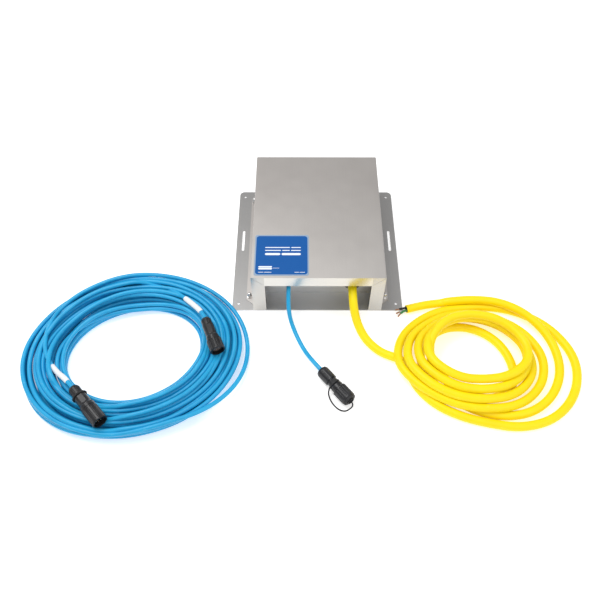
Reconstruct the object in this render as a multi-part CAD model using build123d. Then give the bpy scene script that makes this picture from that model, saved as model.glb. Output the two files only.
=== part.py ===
from build123d import *
import math
import os

os.makedirs("parts", exist_ok=True)

# A wall-mount power supply kit, lying on its back plate. Millimetres, +Z away from the wall,
# -Y towards the open cable end, origin at the centre of the back plate's underside.

# ---- driving dimensions -------------------------------------------------------------------
BOX_WIDTH = 230.0
BOX_LENGTH = 290.0
BOX_HEIGHT = 99.0
FLANGE_REACH = 39.0
PLATE_THICK = 2.0
PLATE_BACK_CORNER = 9.0
PLATE_FRONT_CORNER = 1.0
SHEET = 1.5
RIM_WIDTH = 23.0
FOOT_WIDTH = 14.0
FOOT_END_GAP = 16.0
FOOT_CHAMFER = 12.0
SEAM_WIDTH = 0.5
SEAM_DEPTH = 0.4
SEAM_END_GAP = 1.6

WALL_HOLE_RADIUS = 2.5
WALL_HOLE_EDGE_X = 11.0
WALL_HOLE_EDGE_Y = 14.0
WALL_SLOT_WIDTH = 5.0
WALL_SLOT_LENGTH = 51.0
WALL_SLOT_EDGE_X = 12.5
WALL_SLOT_Y = 17.0

STUD_RADIUS = 2.5
STUD_EDGE = 5.5
STUD_END_GAP = 28.5
STUD_LENGTH = 10.5
HOLE_GAP = 0.25
WASHER_RADIUS = 5.0
WASHER_THICK = 0.9
ACORN_FLATS = 8.0
ACORN_HEX = 4.0
ACORN_HEIGHT = 9.5
THREAD_GAP = 0.05

RECESS_DEPTH = 38.5
PANEL_GAP = 0.3
PANEL_FOOT = 13.0
PANEL_SCREW_X = 88.0
PANEL_SCREW_RADIUS = 2.0
PANEL_SCREW_HEAD = 3.6
PANEL_SCREW_HEAD_HEIGHT = 2.6

LABEL_WIDTH = 94.0
LABEL_LENGTH = 89.0
LABEL_THICK = 0.3
LABEL_CORNER = 4.0
LABEL_EDGE_X = 5.0
LABEL_EDGE_Y = 5.0

MAINS_DIAMETER = 15.0
MAINS_GLAND_X = 60.0
MAINS_GLAND_Z = 58.0
MAINS_NUT_RADIUS = 15.0
MAINS_THREAD_RADIUS = 12.5
MAINS_NUT_LENGTH = 19.5
BLUE_DIAMETER = 7.5
BLUE_GLAND_X = -51.0
BLUE_GLAND_Z = 66.0
BLUE_NUT_RADIUS = 11.0
BLUE_THREAD_RADIUS = 8.0
BLUE_NUT_LENGTH = 16.0
GLAND_HEX_THICK = 6.0
GLAND_THREAD_INSIDE = 10.0
GLAND_LOCKNUT_THICK = 4.0
GLAND_WALL = 1.6
GLAND_NOSE = 6.0
SEAL_LENGTH = 9.0
CABLE_START = 1.0
CABLE_GAP = 0.3

CORE_DIAMETER = 4.0
CORE_BARE = 20.0
WIRE_DIAMETER = 2.4
THIN_WIRE_DIAMETER = 1.8

# ---- converter and barrier board inside the box -------------------------------------------
CASE_WIDTH = 98.0
CASE_LENGTH = 129.0
CASE_HEIGHT = 38.0
CASE_WALL = 1.5
CASE_X = 55.0
CASE_Y = 55.0
TERMINAL_DEPTH = 15.0
TERMINAL_HEIGHT = 16.0
TERMINAL_COUNT = 7
TERMINAL_SCREW_RADIUS = 2.6
BOARD_WIDTH = 84.0
BOARD_LENGTH = 150.0
BOARD_THICK = 1.6
BOARD_X = -58.0
BOARD_Y = 52.0
STANDOFF_HEIGHT = 10.0
STANDOFF_FLATS = 6.0
SMALL_SCREW_RADIUS = 1.5
SMALL_HEAD_RADIUS = 2.9
SMALL_HEAD_HEIGHT = 2.0
BOARD_HOLE_EDGE = 5.0
CORE_BLOCK_WIDTH = 42.0
CORE_BLOCK_LENGTH = 36.0
CORE_BLOCK_HEIGHT = 30.0
CORE_LEG = 8.0
BOBBIN_GAP = 0.4
FUSE_RADIUS = 3.0
FUSE_LENGTH = 20.0
GROUND_STUD_X = 92.0
GROUND_STUD_Y = -62.0
GROUND_STUD_HEIGHT = 16.0
LUG_BARREL_RADIUS = 2.6

# ---- in-line connectors and what is on them -----------------------------------------------
SPIGOT_WALL = 2.2
CABLE_SEAT = 4.0
BARREL_RADIUS = 9.2
BARREL_BORE = 7.5
BARREL_SHORT = 4.0
RING_GAP = 0.06
RING_END_GAP = 0.3
RING_LIP = 3.4
RING_BORE = 10.6
BEAD_RADIUS = 10.3
BEAD_LENGTH = 2.0
FLUTE_RADIUS = 1.4
FLUTE_COUNT = 14
INSERT_SINK = 6.0
FACE_DEPTH = 1.5
PIN_DEPTH = 1.0
CONTACT_CIRCLE = 4.3
CONTACT_RADIUS = 0.9
CONTACT_COUNT = 5
PIN_RISE = 7.0
CONNECTOR_AXIS_Z = 13.2
CONNECTOR_LIFT = 13.4
SEAL_RING_TUBE = 1.2
SEAL_RING_PLACE = 4.0
CAP_SKIRT = 7.0
CAP_SKIRT_WALL = 0.8
CAP_SKIRT_GAP = 0.3
CAP_FACE_THICK = 3.0
CAP_FACE_RADIUS = 11.6
CAP_RIM_RADIUS = 6.5
CAP_RIM_WALL = 1.2
CAP_RIM_HEIGHT = 2.4
CAP_HUB_RADIUS = 2.2
TETHER_DIAMETER = 2.4
TETHER_END_GAP = 0.05
COLLAR_PLACE = 7.0
COLLAR_LENGTH = 3.0
COLLAR_WALL = 1.2
SLEEVE_WALL = 0.6

# ---- coils on the floor -------------------------------------------------------------------
# A coil's centre is measured sideways from the nearer side of the back plate.
MAINS_COIL_CENTRE = (136.0, -250.5)
MAINS_COIL_RADII = (156.0, 124.5)
MAINS_HOLE_CENTRE = (98.0, -252.0)
MAINS_HOLE_RADII = (64.0, 38.0)
MAINS_COIL_HEIGHT = 30.0
BLUE_COIL_CENTRE = (-162.0, -241.0)
BLUE_COIL_RADII = (190.0, 156.0)
BLUE_HOLE_RADII = (108.0, 88.0)
BLUE_COIL_TILT = 12.0
BLUE_COIL_HEIGHT = 24.0

# ---- sizes worked out from the ones above -------------------------------------------------
SIDE_X = BOX_WIDTH / 2
PLATE_WIDTH = BOX_WIDTH + 2 * FLANGE_REACH
BESIDE = PLATE_WIDTH / 2
FRONT_Y = -BOX_LENGTH / 2
BACK_Y = BOX_LENGTH / 2
TOP_Z = BOX_HEIGHT
FOOT_TOP = PLATE_THICK + SHEET
PANEL_FRONT = FRONT_Y + RECESS_DEPTH
PANEL_BACK = PANEL_FRONT + SHEET
STUD_X = SIDE_X + FOOT_WIDTH - STUD_EDGE
STUD_Y = BACK_Y - STUD_END_GAP
BOARD_BASE = PLATE_THICK + STANDOFF_HEIGHT
BOARD_TOP = BOARD_BASE + BOARD_THICK
CASE_FLOOR = PLATE_THICK
CABLE_INNER_Y = PANEL_BACK + CABLE_START
INNER_WIRE_OFFSET = MAINS_DIAMETER / 2 - WIRE_DIAMETER / 2 - 2.5
TOP_CONNECTOR_Z = BLUE_COIL_HEIGHT + CONNECTOR_LIFT


def block(x, y, z, centre_x, centre_y, floor):
    """A box of the given sizes that stands on the height floor."""
    return Pos(centre_x, centre_y, floor + z / 2) * Box(x, y, z)


def span(x0, x1, y0, y1, z0, z1):
    """A box between two corners."""
    return Pos((x0 + x1) / 2, (y0 + y1) / 2, (z0 + z1) / 2) * Box(x1 - x0, y1 - y0, z1 - z0)


def rod(radius, height, x, y, floor):
    """An upright cylinder that stands on the height floor."""
    return Pos(x, y, floor + height / 2) * Cylinder(radius, height)


def turned(points):
    """A solid turned about Z from (radius, height) corners."""
    return revolve(Plane.XZ * make_face(Polyline(*points, close=True)), Axis.Z)


def hexagon(flats, height, floor=0.0):
    """A hexagonal prism about Z, from its width across flats."""
    corner = flats / math.sqrt(3)
    return Pos(0, 0, floor) * extrude(RegularPolygon(corner, 6), height)


def group(pieces):
    """Several separate solids that share one node."""
    return Compound(children=[solid for piece in pieces for solid in piece.solids()])


def save(piece, name):
    """Writes one node and prints its size."""
    export_step(piece, f"parts/{name}.step")
    print(f"{name}: {len(piece.solids())} solids, {piece.volume:.0f} mm3")


def corners(x, y):
    """The four places at plus and minus x and y."""
    return [(sx * x, sy * y) for sx in (-1, 1) for sy in (-1, 1)]


# ---- the route of a cord ------------------------------------------------------------------
def route_radii(points):
    """One arc radius for each inner point, as large as its two runs allow."""
    radii = []
    for before, here, after in zip(points, points[1:], points[2:]):
        run_in = Vector(*here) - Vector(*before)
        run_out = Vector(*after) - Vector(*here)
        half_turn = math.radians(run_in.get_angle(run_out)) / 2
        radii.append(0.45 * min(run_in.length, run_out.length) / math.tan(half_turn))
    return radii


def tube(points, diameter, name):
    """A round cord along straight runs and tangent arcs, with its length and radii printed."""
    radii = route_radii(points)
    path = FilletPolyline(*points, radius=radii)
    section = Plane(path @ 0, z_dir=path % 0) * Circle(diameter / 2)
    solid = sweep(section, path=path)
    expected = math.pi * diameter ** 2 / 4 * path.length
    rounded = ", ".join(f"{radius:.0f}" for radius in radii)
    ratio = solid.volume / expected
    print(f"{name}: length {path.length:.0f} mm, volume ratio {ratio:.4f}, radii {rounded}")
    return solid


# ---- sheet-metal box ----------------------------------------------------------------------
def back_plate():
    """The wall plate: two long slots, four corner holes, stud and screw holes."""
    outline = Rectangle(PLATE_WIDTH, BOX_LENGTH)
    back = outline.vertices().group_by(Axis.Y)[-1]
    outline = fillet(back, PLATE_BACK_CORNER)
    front = outline.vertices().group_by(Axis.Y)[0]
    plate = extrude(fillet(front, PLATE_FRONT_CORNER), PLATE_THICK)
    hole_x = PLATE_WIDTH / 2 - WALL_HOLE_EDGE_X
    hole_y = BACK_Y - WALL_HOLE_EDGE_Y
    for x, y in corners(hole_x, hole_y):
        plate -= rod(WALL_HOLE_RADIUS, PLATE_THICK, x, y, 0)
    for x, y in corners(STUD_X, STUD_Y):
        plate -= rod(STUD_RADIUS, PLATE_THICK, x, y, 0)
    for side in (-1, 1):
        slot = extrude(SlotOverall(WALL_SLOT_LENGTH, WALL_SLOT_WIDTH, rotation=90), PLATE_THICK)
        plate -= Pos(side * (PLATE_WIDTH / 2 - WALL_SLOT_EDGE_X), WALL_SLOT_Y, 0) * slot
        plate -= rod(PANEL_SCREW_RADIUS, PLATE_THICK, side * PANEL_SCREW_X, panel_screw_y(), 0)
    for x, y in case_screw_places():
        plate -= rod(SMALL_SCREW_RADIUS, PLATE_THICK, x, y, 0)
    return plate - rod(STUD_RADIUS, PLATE_THICK, GROUND_STUD_X, GROUND_STUD_Y, 0)


def foot(side):
    """One outward foot of the hood, with both ends cut at 45 degrees."""
    end = BACK_Y - FOOT_END_GAP
    near = side * SIDE_X
    far = side * (SIDE_X + FOOT_WIDTH)
    outline = Polyline((near, -end - FOOT_CHAMFER / 2), (far, -end + FOOT_CHAMFER / 2),
                       (far, end - FOOT_CHAMFER / 2), (near, end + FOOT_CHAMFER / 2), close=True)
    strip = Pos(0, 0, PLATE_THICK) * extrude(make_face(outline), SHEET)
    for y in (-STUD_Y, STUD_Y):
        strip -= rod(STUD_RADIUS + HOLE_GAP, SHEET, side * STUD_X, y, PLATE_THICK)
    return strip


def mitre_seam(side):
    """The fine groove where the rim's side and top pieces meet at 45 degrees."""
    length = (RIM_WIDTH - 2 * SEAM_END_GAP) * math.sqrt(2)
    seam = Box(length, 2 * SEAM_DEPTH, SEAM_WIDTH)
    middle = (side * (SIDE_X - RIM_WIDTH / 2), FRONT_Y, TOP_Z - RIM_WIDTH / 2)
    return Pos(*middle) * Rot(0, -side * 45, 0) * seam


def cover():
    """The hood: top, sides, closed end, a returned rim at the open end, and two feet."""
    outer = span(-SIDE_X, SIDE_X, FRONT_Y, BACK_Y, PLATE_THICK, TOP_Z)
    outer = fillet(outer.edges().filter_by(Axis.Y).group_by(Axis.Z)[-1], SHEET)
    inside_x = SIDE_X - SHEET
    outer -= span(-inside_x, inside_x, FRONT_Y + SHEET, BACK_Y - SHEET, 0, TOP_Z - SHEET)
    mouth_x = SIDE_X - RIM_WIDTH
    outer -= span(-mouth_x, mouth_x, FRONT_Y - 1, FRONT_Y + 2 * SHEET, 0, TOP_Z - RIM_WIDTH)
    for side in (-1, 1):
        outer += foot(side)
        outer -= mitre_seam(side)
    return outer


def panel_screw_y():
    """How far back the bulkhead's foot is screwed down."""
    return PANEL_BACK + PANEL_FOOT / 2


def bulkhead():
    """The panel across the recess, with a foot behind it and a hole for each gland."""
    half = SIDE_X - SHEET - PANEL_GAP
    panel = span(-half, half, PANEL_FRONT, PANEL_BACK, PLATE_THICK, TOP_Z - SHEET - PANEL_GAP)
    panel += span(-half, half, PANEL_BACK, PANEL_BACK + PANEL_FOOT, PLATE_THICK, FOOT_TOP)
    for x, z, radius in ((MAINS_GLAND_X, MAINS_GLAND_Z, MAINS_THREAD_RADIUS),
                         (BLUE_GLAND_X, BLUE_GLAND_Z, BLUE_THREAD_RADIUS)):
        hole = Cylinder(radius + HOLE_GAP, 4 * SHEET, rotation=(90, 0, 0))
        panel -= Pos(x, PANEL_FRONT, z) * hole
    for side in (-1, 1):
        hole_radius = PANEL_SCREW_RADIUS + HOLE_GAP
        panel -= rod(hole_radius, SHEET, side * PANEL_SCREW_X, panel_screw_y(), PLATE_THICK)
    return panel


def plate_studs():
    """The four hood studs and the earth stud, pressed in flush with the plate's underside."""
    studs = [rod(STUD_RADIUS, STUD_LENGTH, x, y, 0) for x, y in corners(STUD_X, STUD_Y)]
    studs.append(rod(STUD_RADIUS, GROUND_STUD_HEIGHT, GROUND_STUD_X, GROUND_STUD_Y, 0))
    return group(studs)


def washer():
    """One plain washer."""
    return Cylinder(WASHER_RADIUS, WASHER_THICK) - Cylinder(STUD_RADIUS + HOLE_GAP, WASHER_THICK)


def nut_washers():
    """The washers under the four acorn nuts."""
    lift = FOOT_TOP + WASHER_THICK / 2
    return group([Pos(x, y, lift) * washer() for x, y in corners(STUD_X, STUD_Y)])


def acorn_nut():
    """One domed cap nut with a blind thread."""
    dome_radius = ACORN_FLATS / 2 - 0.2
    nut = hexagon(ACORN_FLATS, ACORN_HEX)
    nut = chamfer(nut.edges().group_by(Axis.Z)[-1], 0.5)
    straight = ACORN_HEIGHT - ACORN_HEX - dome_radius
    nut += rod(dome_radius, straight, 0, 0, ACORN_HEX)
    nut += Pos(0, 0, ACORN_HEX + straight) * Sphere(dome_radius)
    reach = STUD_LENGTH - FOOT_TOP - WASHER_THICK + THREAD_GAP
    return nut - rod(STUD_RADIUS + THREAD_GAP, reach, 0, 0, 0)


def acorn_nuts():
    """The four cap nuts that hold the hood down."""
    lift = FOOT_TOP + WASHER_THICK
    return group([Pos(x, y, lift) * acorn_nut() for x, y in corners(STUD_X, STUD_Y)])


def pan_screw(radius, length, head_radius, head_height):
    """A pan-head screw: shank below zero, head above, with a cross recess."""
    head = rod(head_radius, head_height, 0, 0, 0)
    head = fillet(head.edges().group_by(Axis.Z)[-1], head_height * 0.45)
    cross_width = head_radius * 0.35
    for turn in (0, 90):
        recess = Rot(0, 0, turn) * Box(head_radius * 1.2, cross_width, head_height)
        head -= Pos(0, 0, head_height) * recess
    return head + rod(radius, length, 0, 0, -length)


def bulkhead_screws():
    """The two screws through the bulkhead's foot into the plate."""
    screw = pan_screw(PANEL_SCREW_RADIUS, FOOT_TOP, PANEL_SCREW_HEAD, PANEL_SCREW_HEAD_HEIGHT)
    return group([Pos(side * PANEL_SCREW_X, panel_screw_y(), FOOT_TOP) * screw for side in (-1, 1)])


def label_plate():
    """The thin label on the hood's top, near the left front corner."""
    sheet = extrude(RectangleRounded(LABEL_WIDTH, LABEL_LENGTH, LABEL_CORNER), LABEL_THICK)
    x = -SIDE_X + LABEL_EDGE_X + LABEL_WIDTH / 2
    y = FRONT_Y + LABEL_EDGE_Y + LABEL_LENGTH / 2
    return Pos(x, y, TOP_Z) * sheet


# ---- cable glands -------------------------------------------------------------------------
class Gland:
    """One cable gland: its place, cable, thread and nut."""

    def __init__(self, x, z, cable, thread_radius, nut_radius, nut_length):
        self.place = Plane((x, PANEL_FRONT, z), x_dir=(1, 0, 0), z_dir=(0, -1, 0)).location
        self.bore = cable / 2 + CABLE_GAP
        self.cable = cable
        self.thread_radius = thread_radius
        self.nut_radius = nut_radius
        self.nut_length = nut_length
        self.nose_start = nut_length - GLAND_NOSE

    def body(self):
        """The threaded body with its hexagonal flange in front of the panel."""
        spigot = self.thread_radius - GLAND_WALL
        solid = hexagon(2 * self.nut_radius * 0.97, GLAND_HEX_THICK)
        inside = SHEET + GLAND_THREAD_INSIDE
        solid += rod(self.thread_radius, inside, 0, 0, -inside)
        solid += rod(spigot, self.nose_start - SEAL_LENGTH, 0, 0, GLAND_HEX_THICK)
        length = inside + GLAND_HEX_THICK + self.nut_length
        return self.place * (solid - rod(self.bore, length, 0, 0, -inside))

    def nut(self):
        """The dome nut: ribbed grip, rounded nose and a hole for the cable."""
        base = GLAND_HEX_THICK
        top = base + self.nut_length
        spigot = self.thread_radius - GLAND_WALL + THREAD_GAP
        nose = base + self.nose_start
        shell = turned([(spigot, base), (self.nut_radius, base), (self.nut_radius, nose),
                        (self.nut_radius - 1.5, nose + GLAND_NOSE / 2), (self.bore + 1.2, top),
                        (self.bore, top), (self.bore, nose + 1), (spigot, nose)])
        grooves = PolarLocations(self.nut_radius + 0.6, 12)
        height = self.nose_start
        for place in grooves:
            shell -= place * rod(1.3, height - 1.5, 0, 0, base + 1.5)
        return self.place * shell

    def seal(self):
        """The rubber sleeve that the nut squeezes onto the cable."""
        outer = self.thread_radius - GLAND_WALL
        floor = GLAND_HEX_THICK + self.nose_start - SEAL_LENGTH
        ring = rod(outer, SEAL_LENGTH, 0, 0, floor) - rod(self.cable / 2, SEAL_LENGTH, 0, 0, floor)
        return self.place * ring

    def locknut(self):
        """The hexagonal nut behind the panel."""
        floor = -SHEET - GLAND_LOCKNUT_THICK
        nut = hexagon(2 * self.thread_radius + 6, GLAND_LOCKNUT_THICK, floor)
        thread = rod(self.thread_radius + THREAD_GAP, GLAND_LOCKNUT_THICK, 0, 0, floor)
        return self.place * (nut - thread)


MAINS_GLAND = Gland(MAINS_GLAND_X, MAINS_GLAND_Z, MAINS_DIAMETER, MAINS_THREAD_RADIUS,
                    MAINS_NUT_RADIUS, MAINS_NUT_LENGTH)
BLUE_GLAND = Gland(BLUE_GLAND_X, BLUE_GLAND_Z, BLUE_DIAMETER, BLUE_THREAD_RADIUS,
                   BLUE_NUT_RADIUS, BLUE_NUT_LENGTH)


# ---- converter ----------------------------------------------------------------------------
def case_front():
    """Where the converter's terminal end stands."""
    return CASE_Y - CASE_LENGTH / 2


def supply_case():
    """The converter's open-topped metal tray, with its terminal end cut down."""
    tray = block(CASE_WIDTH, CASE_LENGTH, CASE_HEIGHT, CASE_X, CASE_Y, CASE_FLOOR)
    inner_x = CASE_WIDTH - 2 * CASE_WALL
    inner_y = CASE_LENGTH - 2 * CASE_WALL
    tray -= block(inner_x, inner_y, CASE_HEIGHT, CASE_X, CASE_Y, CASE_FLOOR + CASE_WALL)
    cut_y = case_front() + CASE_WALL
    tray -= block(inner_x, 4 * CASE_WALL, CASE_HEIGHT, CASE_X, cut_y, CASE_FLOOR + CASE_WALL)
    for x, y in case_screw_places():
        tray -= rod(SMALL_SCREW_RADIUS + HOLE_GAP, CASE_WALL, x, y, CASE_FLOOR)
    return tray


def case_screw_places():
    """The two screws in the tray's floor, in front of the terminals' back."""
    x = CASE_WIDTH / 2 - 3 * SMALL_HEAD_RADIUS
    y = CASE_LENGTH / 2 - 3 * SMALL_HEAD_RADIUS
    return [(CASE_X - x, CASE_Y + y), (CASE_X + x, CASE_Y + y)]


def supply_lid():
    """The converter's lid, with rows of vent slots."""
    gap = TERMINAL_DEPTH + 3 * CASE_WALL
    length = CASE_LENGTH - gap
    centre_y = CASE_Y + gap / 2
    lid = block(CASE_WIDTH, length, CASE_WALL, CASE_X, centre_y, CASE_FLOOR + CASE_HEIGHT)
    vents = GridLocations(CASE_WIDTH / 6, length / 5, 5, 4)
    slot = extrude(SlotOverall(CASE_WIDTH / 9, 2.5), CASE_WALL)
    for place in vents:
        lid -= Pos(CASE_X, centre_y, CASE_FLOOR + CASE_HEIGHT) * place * slot
    return lid


def terminal_pitch():
    """The distance between the converter's screw terminals."""
    return (CASE_WIDTH - 4 * CASE_WALL) / TERMINAL_COUNT


def terminal_x(index):
    """The middle of one screw terminal, counted from the right."""
    return CASE_X + terminal_pitch() * ((TERMINAL_COUNT - 1) / 2 - index)


def terminal_y():
    """The middle line of the converter's terminal strip."""
    return case_front() + CASE_WALL + TERMINAL_DEPTH / 2


def supply_terminals():
    """The moulded terminal strip, with one pocket for each screw."""
    width = CASE_WIDTH - 4 * CASE_WALL
    floor = CASE_FLOOR + CASE_WALL
    strip = block(width, TERMINAL_DEPTH, TERMINAL_HEIGHT, CASE_X, terminal_y(), floor)
    pocket = TERMINAL_HEIGHT / 2
    for index in range(TERMINAL_COUNT):
        cut = block(terminal_pitch() - 2, TERMINAL_DEPTH, pocket, terminal_x(index),
                    terminal_y() - 2, floor + pocket)
        strip -= cut
        strip -= rod(SMALL_SCREW_RADIUS, 5, terminal_x(index), terminal_y(), floor + pocket - 5)
    return strip


def terminal_screws():
    """The clamping screws in the converter's terminals."""
    floor = CASE_FLOOR + CASE_WALL + TERMINAL_HEIGHT / 2
    screw = pan_screw(SMALL_SCREW_RADIUS, 5, TERMINAL_SCREW_RADIUS, SMALL_HEAD_HEIGHT)
    return [Pos(terminal_x(index), terminal_y(), floor) * screw for index in range(TERMINAL_COUNT)]


# ---- barrier board ------------------------------------------------------------------------
def board_hole_places():
    """The four holes in the barrier board's corners."""
    x = BOARD_WIDTH / 2 - BOARD_HOLE_EDGE
    y = BOARD_LENGTH / 2 - BOARD_HOLE_EDGE
    return [(BOARD_X + dx, BOARD_Y + dy) for dx, dy in corners(x, y)]


def barrier_board():
    """The circuit board that limits the output's energy."""
    board = block(BOARD_WIDTH, BOARD_LENGTH, BOARD_THICK, BOARD_X, BOARD_Y, BOARD_BASE)
    for x, y in board_hole_places():
        board -= rod(SMALL_SCREW_RADIUS + HOLE_GAP, BOARD_THICK, x, y, BOARD_BASE)
    return board


def board_standoffs():
    """The four hexagonal posts under the barrier board."""
    post = hexagon(STANDOFF_FLATS, STANDOFF_HEIGHT)
    post -= rod(SMALL_SCREW_RADIUS, 6, 0, 0, STANDOFF_HEIGHT - 6)
    return group([Pos(x, y, PLATE_THICK) * post for x, y in board_hole_places()])


def small_screws():
    """The small screws: board to posts, tray to plate, and the converter's clamping screws."""
    on_board = pan_screw(SMALL_SCREW_RADIUS, 6, SMALL_HEAD_RADIUS, SMALL_HEAD_HEIGHT)
    through = CASE_WALL + PLATE_THICK
    in_tray = pan_screw(SMALL_SCREW_RADIUS, through, SMALL_HEAD_RADIUS, SMALL_HEAD_HEIGHT)
    screws = [Pos(x, y, BOARD_TOP) * on_board for x, y in board_hole_places()]
    screws += [Pos(x, y, CASE_FLOOR + CASE_WALL) * in_tray for x, y in case_screw_places()]
    return group(screws + terminal_screws())


def transformer_place():
    """The isolating transformer's middle on the board."""
    return BOARD_X, BOARD_Y + BOARD_LENGTH / 2 - CORE_BLOCK_LENGTH


def transformer_core():
    """The transformer's laminated core: a frame round a middle leg."""
    x, y = transformer_place()
    core = block(CORE_BLOCK_WIDTH, CORE_LEG * 2, CORE_BLOCK_HEIGHT, x, y, BOARD_TOP)
    window = (CORE_BLOCK_WIDTH - 3 * CORE_LEG) / 2
    high = CORE_BLOCK_HEIGHT - 2 * CORE_LEG
    for side in (-1, 1):
        middle = x + side * (CORE_LEG + window) / 2
        core -= block(window, CORE_LEG * 2, high, middle, y, BOARD_TOP + CORE_LEG)
    return core


def transformer_coil():
    """The taped winding round the core's middle leg."""
    x, y = transformer_place()
    window = (CORE_BLOCK_WIDTH - 3 * CORE_LEG) / 2
    high = CORE_BLOCK_HEIGHT - 2 * CORE_LEG - 2 * BOBBIN_GAP
    width = CORE_LEG + 2 * (window - BOBBIN_GAP)
    floor = BOARD_TOP + CORE_LEG + BOBBIN_GAP
    coil = block(width, CORE_BLOCK_LENGTH, high, x, y, floor)
    hole_x = CORE_LEG + 2 * BOBBIN_GAP
    hole_y = 2 * (CORE_LEG + BOBBIN_GAP)
    return coil - block(hole_x, hole_y, high, x, y, floor)


def barrier_parts():
    """Limiting resistors, diodes and two capacitors on the board."""
    pieces = []
    for index in range(4):
        lying = Cylinder(3.2, 16, rotation=(0, 90, 0))
        pieces.append(Pos(BOARD_X - 20, BOARD_Y - 30 + 10 * index, BOARD_TOP + 3.2) * lying)
    for index in range(6):
        lying = Cylinder(1.8, 8, rotation=(0, 90, 0))
        pieces.append(Pos(BOARD_X + 4, BOARD_Y - 30 + 6 * index, BOARD_TOP + 1.8) * lying)
    for index in range(2):
        pieces.append(rod(6.5, 22, BOARD_X + 26, BOARD_Y - 24 + 20 * index, BOARD_TOP))
    return group(pieces)


def fuse_y():
    """The fuse's middle, near the board's front edge."""
    return BOARD_Y - BOARD_LENGTH / 2 + 30


def fuse_holder():
    """Two spring clips that hold the fuse."""
    clips = []
    for side in (-1, 1):
        x = BOARD_X + 18 + side * (FUSE_LENGTH / 2 - 2.5)
        height = 2 * FUSE_RADIUS + 1
        clip = block(4, 2 * FUSE_RADIUS + 2, height, x, fuse_y(), BOARD_TOP)
        bore = Cylinder(FUSE_RADIUS, 4, rotation=(0, 90, 0))
        clip -= Pos(x, fuse_y(), BOARD_TOP + FUSE_RADIUS + 1) * bore
        mouth = block(4, FUSE_RADIUS, height, x, fuse_y(), BOARD_TOP + FUSE_RADIUS + 1)
        clips.append(clip - mouth)
    return group(clips)


def fuse():
    """The glass fuse with its two end caps."""
    lying = Cylinder(FUSE_RADIUS, FUSE_LENGTH, rotation=(0, 90, 0))
    return Pos(BOARD_X + 18, fuse_y(), BOARD_TOP + FUSE_RADIUS + 1) * lying


def board_terminal_y():
    """The row of the board's two screw terminal blocks."""
    return BOARD_Y - BOARD_LENGTH / 2 + 12


def board_terminals():
    """The output terminal block and the input terminal block."""
    blocks = []
    for x in (BOARD_X - 22, BOARD_X + 20):
        solid = block(16, 10, 12, x, board_terminal_y(), BOARD_TOP)
        for side in (-1, 1):
            solid -= rod(1.8, 4, x + side * 4, board_terminal_y(), BOARD_TOP + 8)
            entry = Cylinder(1.4, 6, rotation=(90, 0, 0))
            solid -= Pos(x + side * 4, board_terminal_y() - 4, BOARD_TOP + 3) * entry
        blocks.append(solid)
    return group(blocks)


# ---- earth point and inner wires ----------------------------------------------------------
def ground_lug():
    """The ring tongue on the earth stud."""
    ring = rod(6, 1.2, 0, 0, 0) + block(5, 12, 1.2, 0, 8, 0)
    ring += Pos(0, 14, LUG_BARREL_RADIUS) * Cylinder(LUG_BARREL_RADIUS, 8, rotation=(90, 0, 0))
    ring -= rod(STUD_RADIUS + HOLE_GAP, 4, 0, 0, 0)
    return Pos(GROUND_STUD_X, GROUND_STUD_Y, PLATE_THICK) * ring


def ground_nut():
    """The hexagonal nut on the earth stud."""
    nut = hexagon(ACORN_FLATS, ACORN_HEX) - rod(STUD_RADIUS + THREAD_GAP, ACORN_HEX, 0, 0, 0)
    return Pos(GROUND_STUD_X, GROUND_STUD_Y, PLATE_THICK + 1.2) * nut


def mains_wire(index, offset, name):
    """One wire from the mains cable's inner end to a converter terminal."""
    start_x = MAINS_GLAND_X + offset
    target_x = terminal_x(index)
    height = CASE_FLOOR + CASE_WALL + TERMINAL_HEIGHT / 2 + WIRE_DIAMETER
    wire_end = terminal_y() - TERMINAL_SCREW_RADIUS - WIRE_DIAMETER / 2
    points = [(start_x, CABLE_INNER_Y, MAINS_GLAND_Z),
              (start_x, CABLE_INNER_Y + 24, MAINS_GLAND_Z),
              (start_x + (target_x - start_x) * 0.4, (CABLE_INNER_Y + wire_end) / 2 + 4, 44),
              (target_x, wire_end - 16, height + 8),
              (target_x, wire_end, height)]
    return tube(points, WIRE_DIAMETER, name)


def ground_wire():
    """The earth wire from the mains cable's inner end to the ring tongue."""
    x = MAINS_GLAND_X + INNER_WIRE_OFFSET
    low = MAINS_GLAND_Z - INNER_WIRE_OFFSET
    lug_y = GROUND_STUD_Y + 18.5
    points = [(x, CABLE_INNER_Y, low),
              (x, CABLE_INNER_Y + 22, low),
              (x + 15, CABLE_INNER_Y + 44, 42),
              (GROUND_STUD_X + 1, lug_y + 16, 22),
              (GROUND_STUD_X, lug_y + 11, 7),
              (GROUND_STUD_X, lug_y, PLATE_THICK + LUG_BARREL_RADIUS)]
    return tube(points, WIRE_DIAMETER, "ground_wire")


def link_wires():
    """The pair from the converter's output to the board's input."""
    height = CASE_FLOOR + CASE_WALL + TERMINAL_HEIGHT / 2 + WIRE_DIAMETER
    wire_end = terminal_y() - TERMINAL_SCREW_RADIUS - WIRE_DIAMETER / 2
    entry_z = BOARD_TOP + 3
    entry_y = board_terminal_y() - 6.5
    wires = []
    for index, side in ((5, 1), (6, -1)):
        board_x = BOARD_X + 20 + side * 4
        low = entry_y - 20 - 5 * side
        points = [(terminal_x(index), wire_end, height),
                  (terminal_x(index), wire_end - 18, height + 3 + 3 * side),
                  ((terminal_x(index) + board_x) / 2, low - 6, entry_z + 5 + 3 * side),
                  (board_x, low, entry_z + 2),
                  (board_x, entry_y, entry_z)]
        wires.append(tube(points, THIN_WIRE_DIAMETER, "link_wire"))
    return group(wires)


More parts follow.
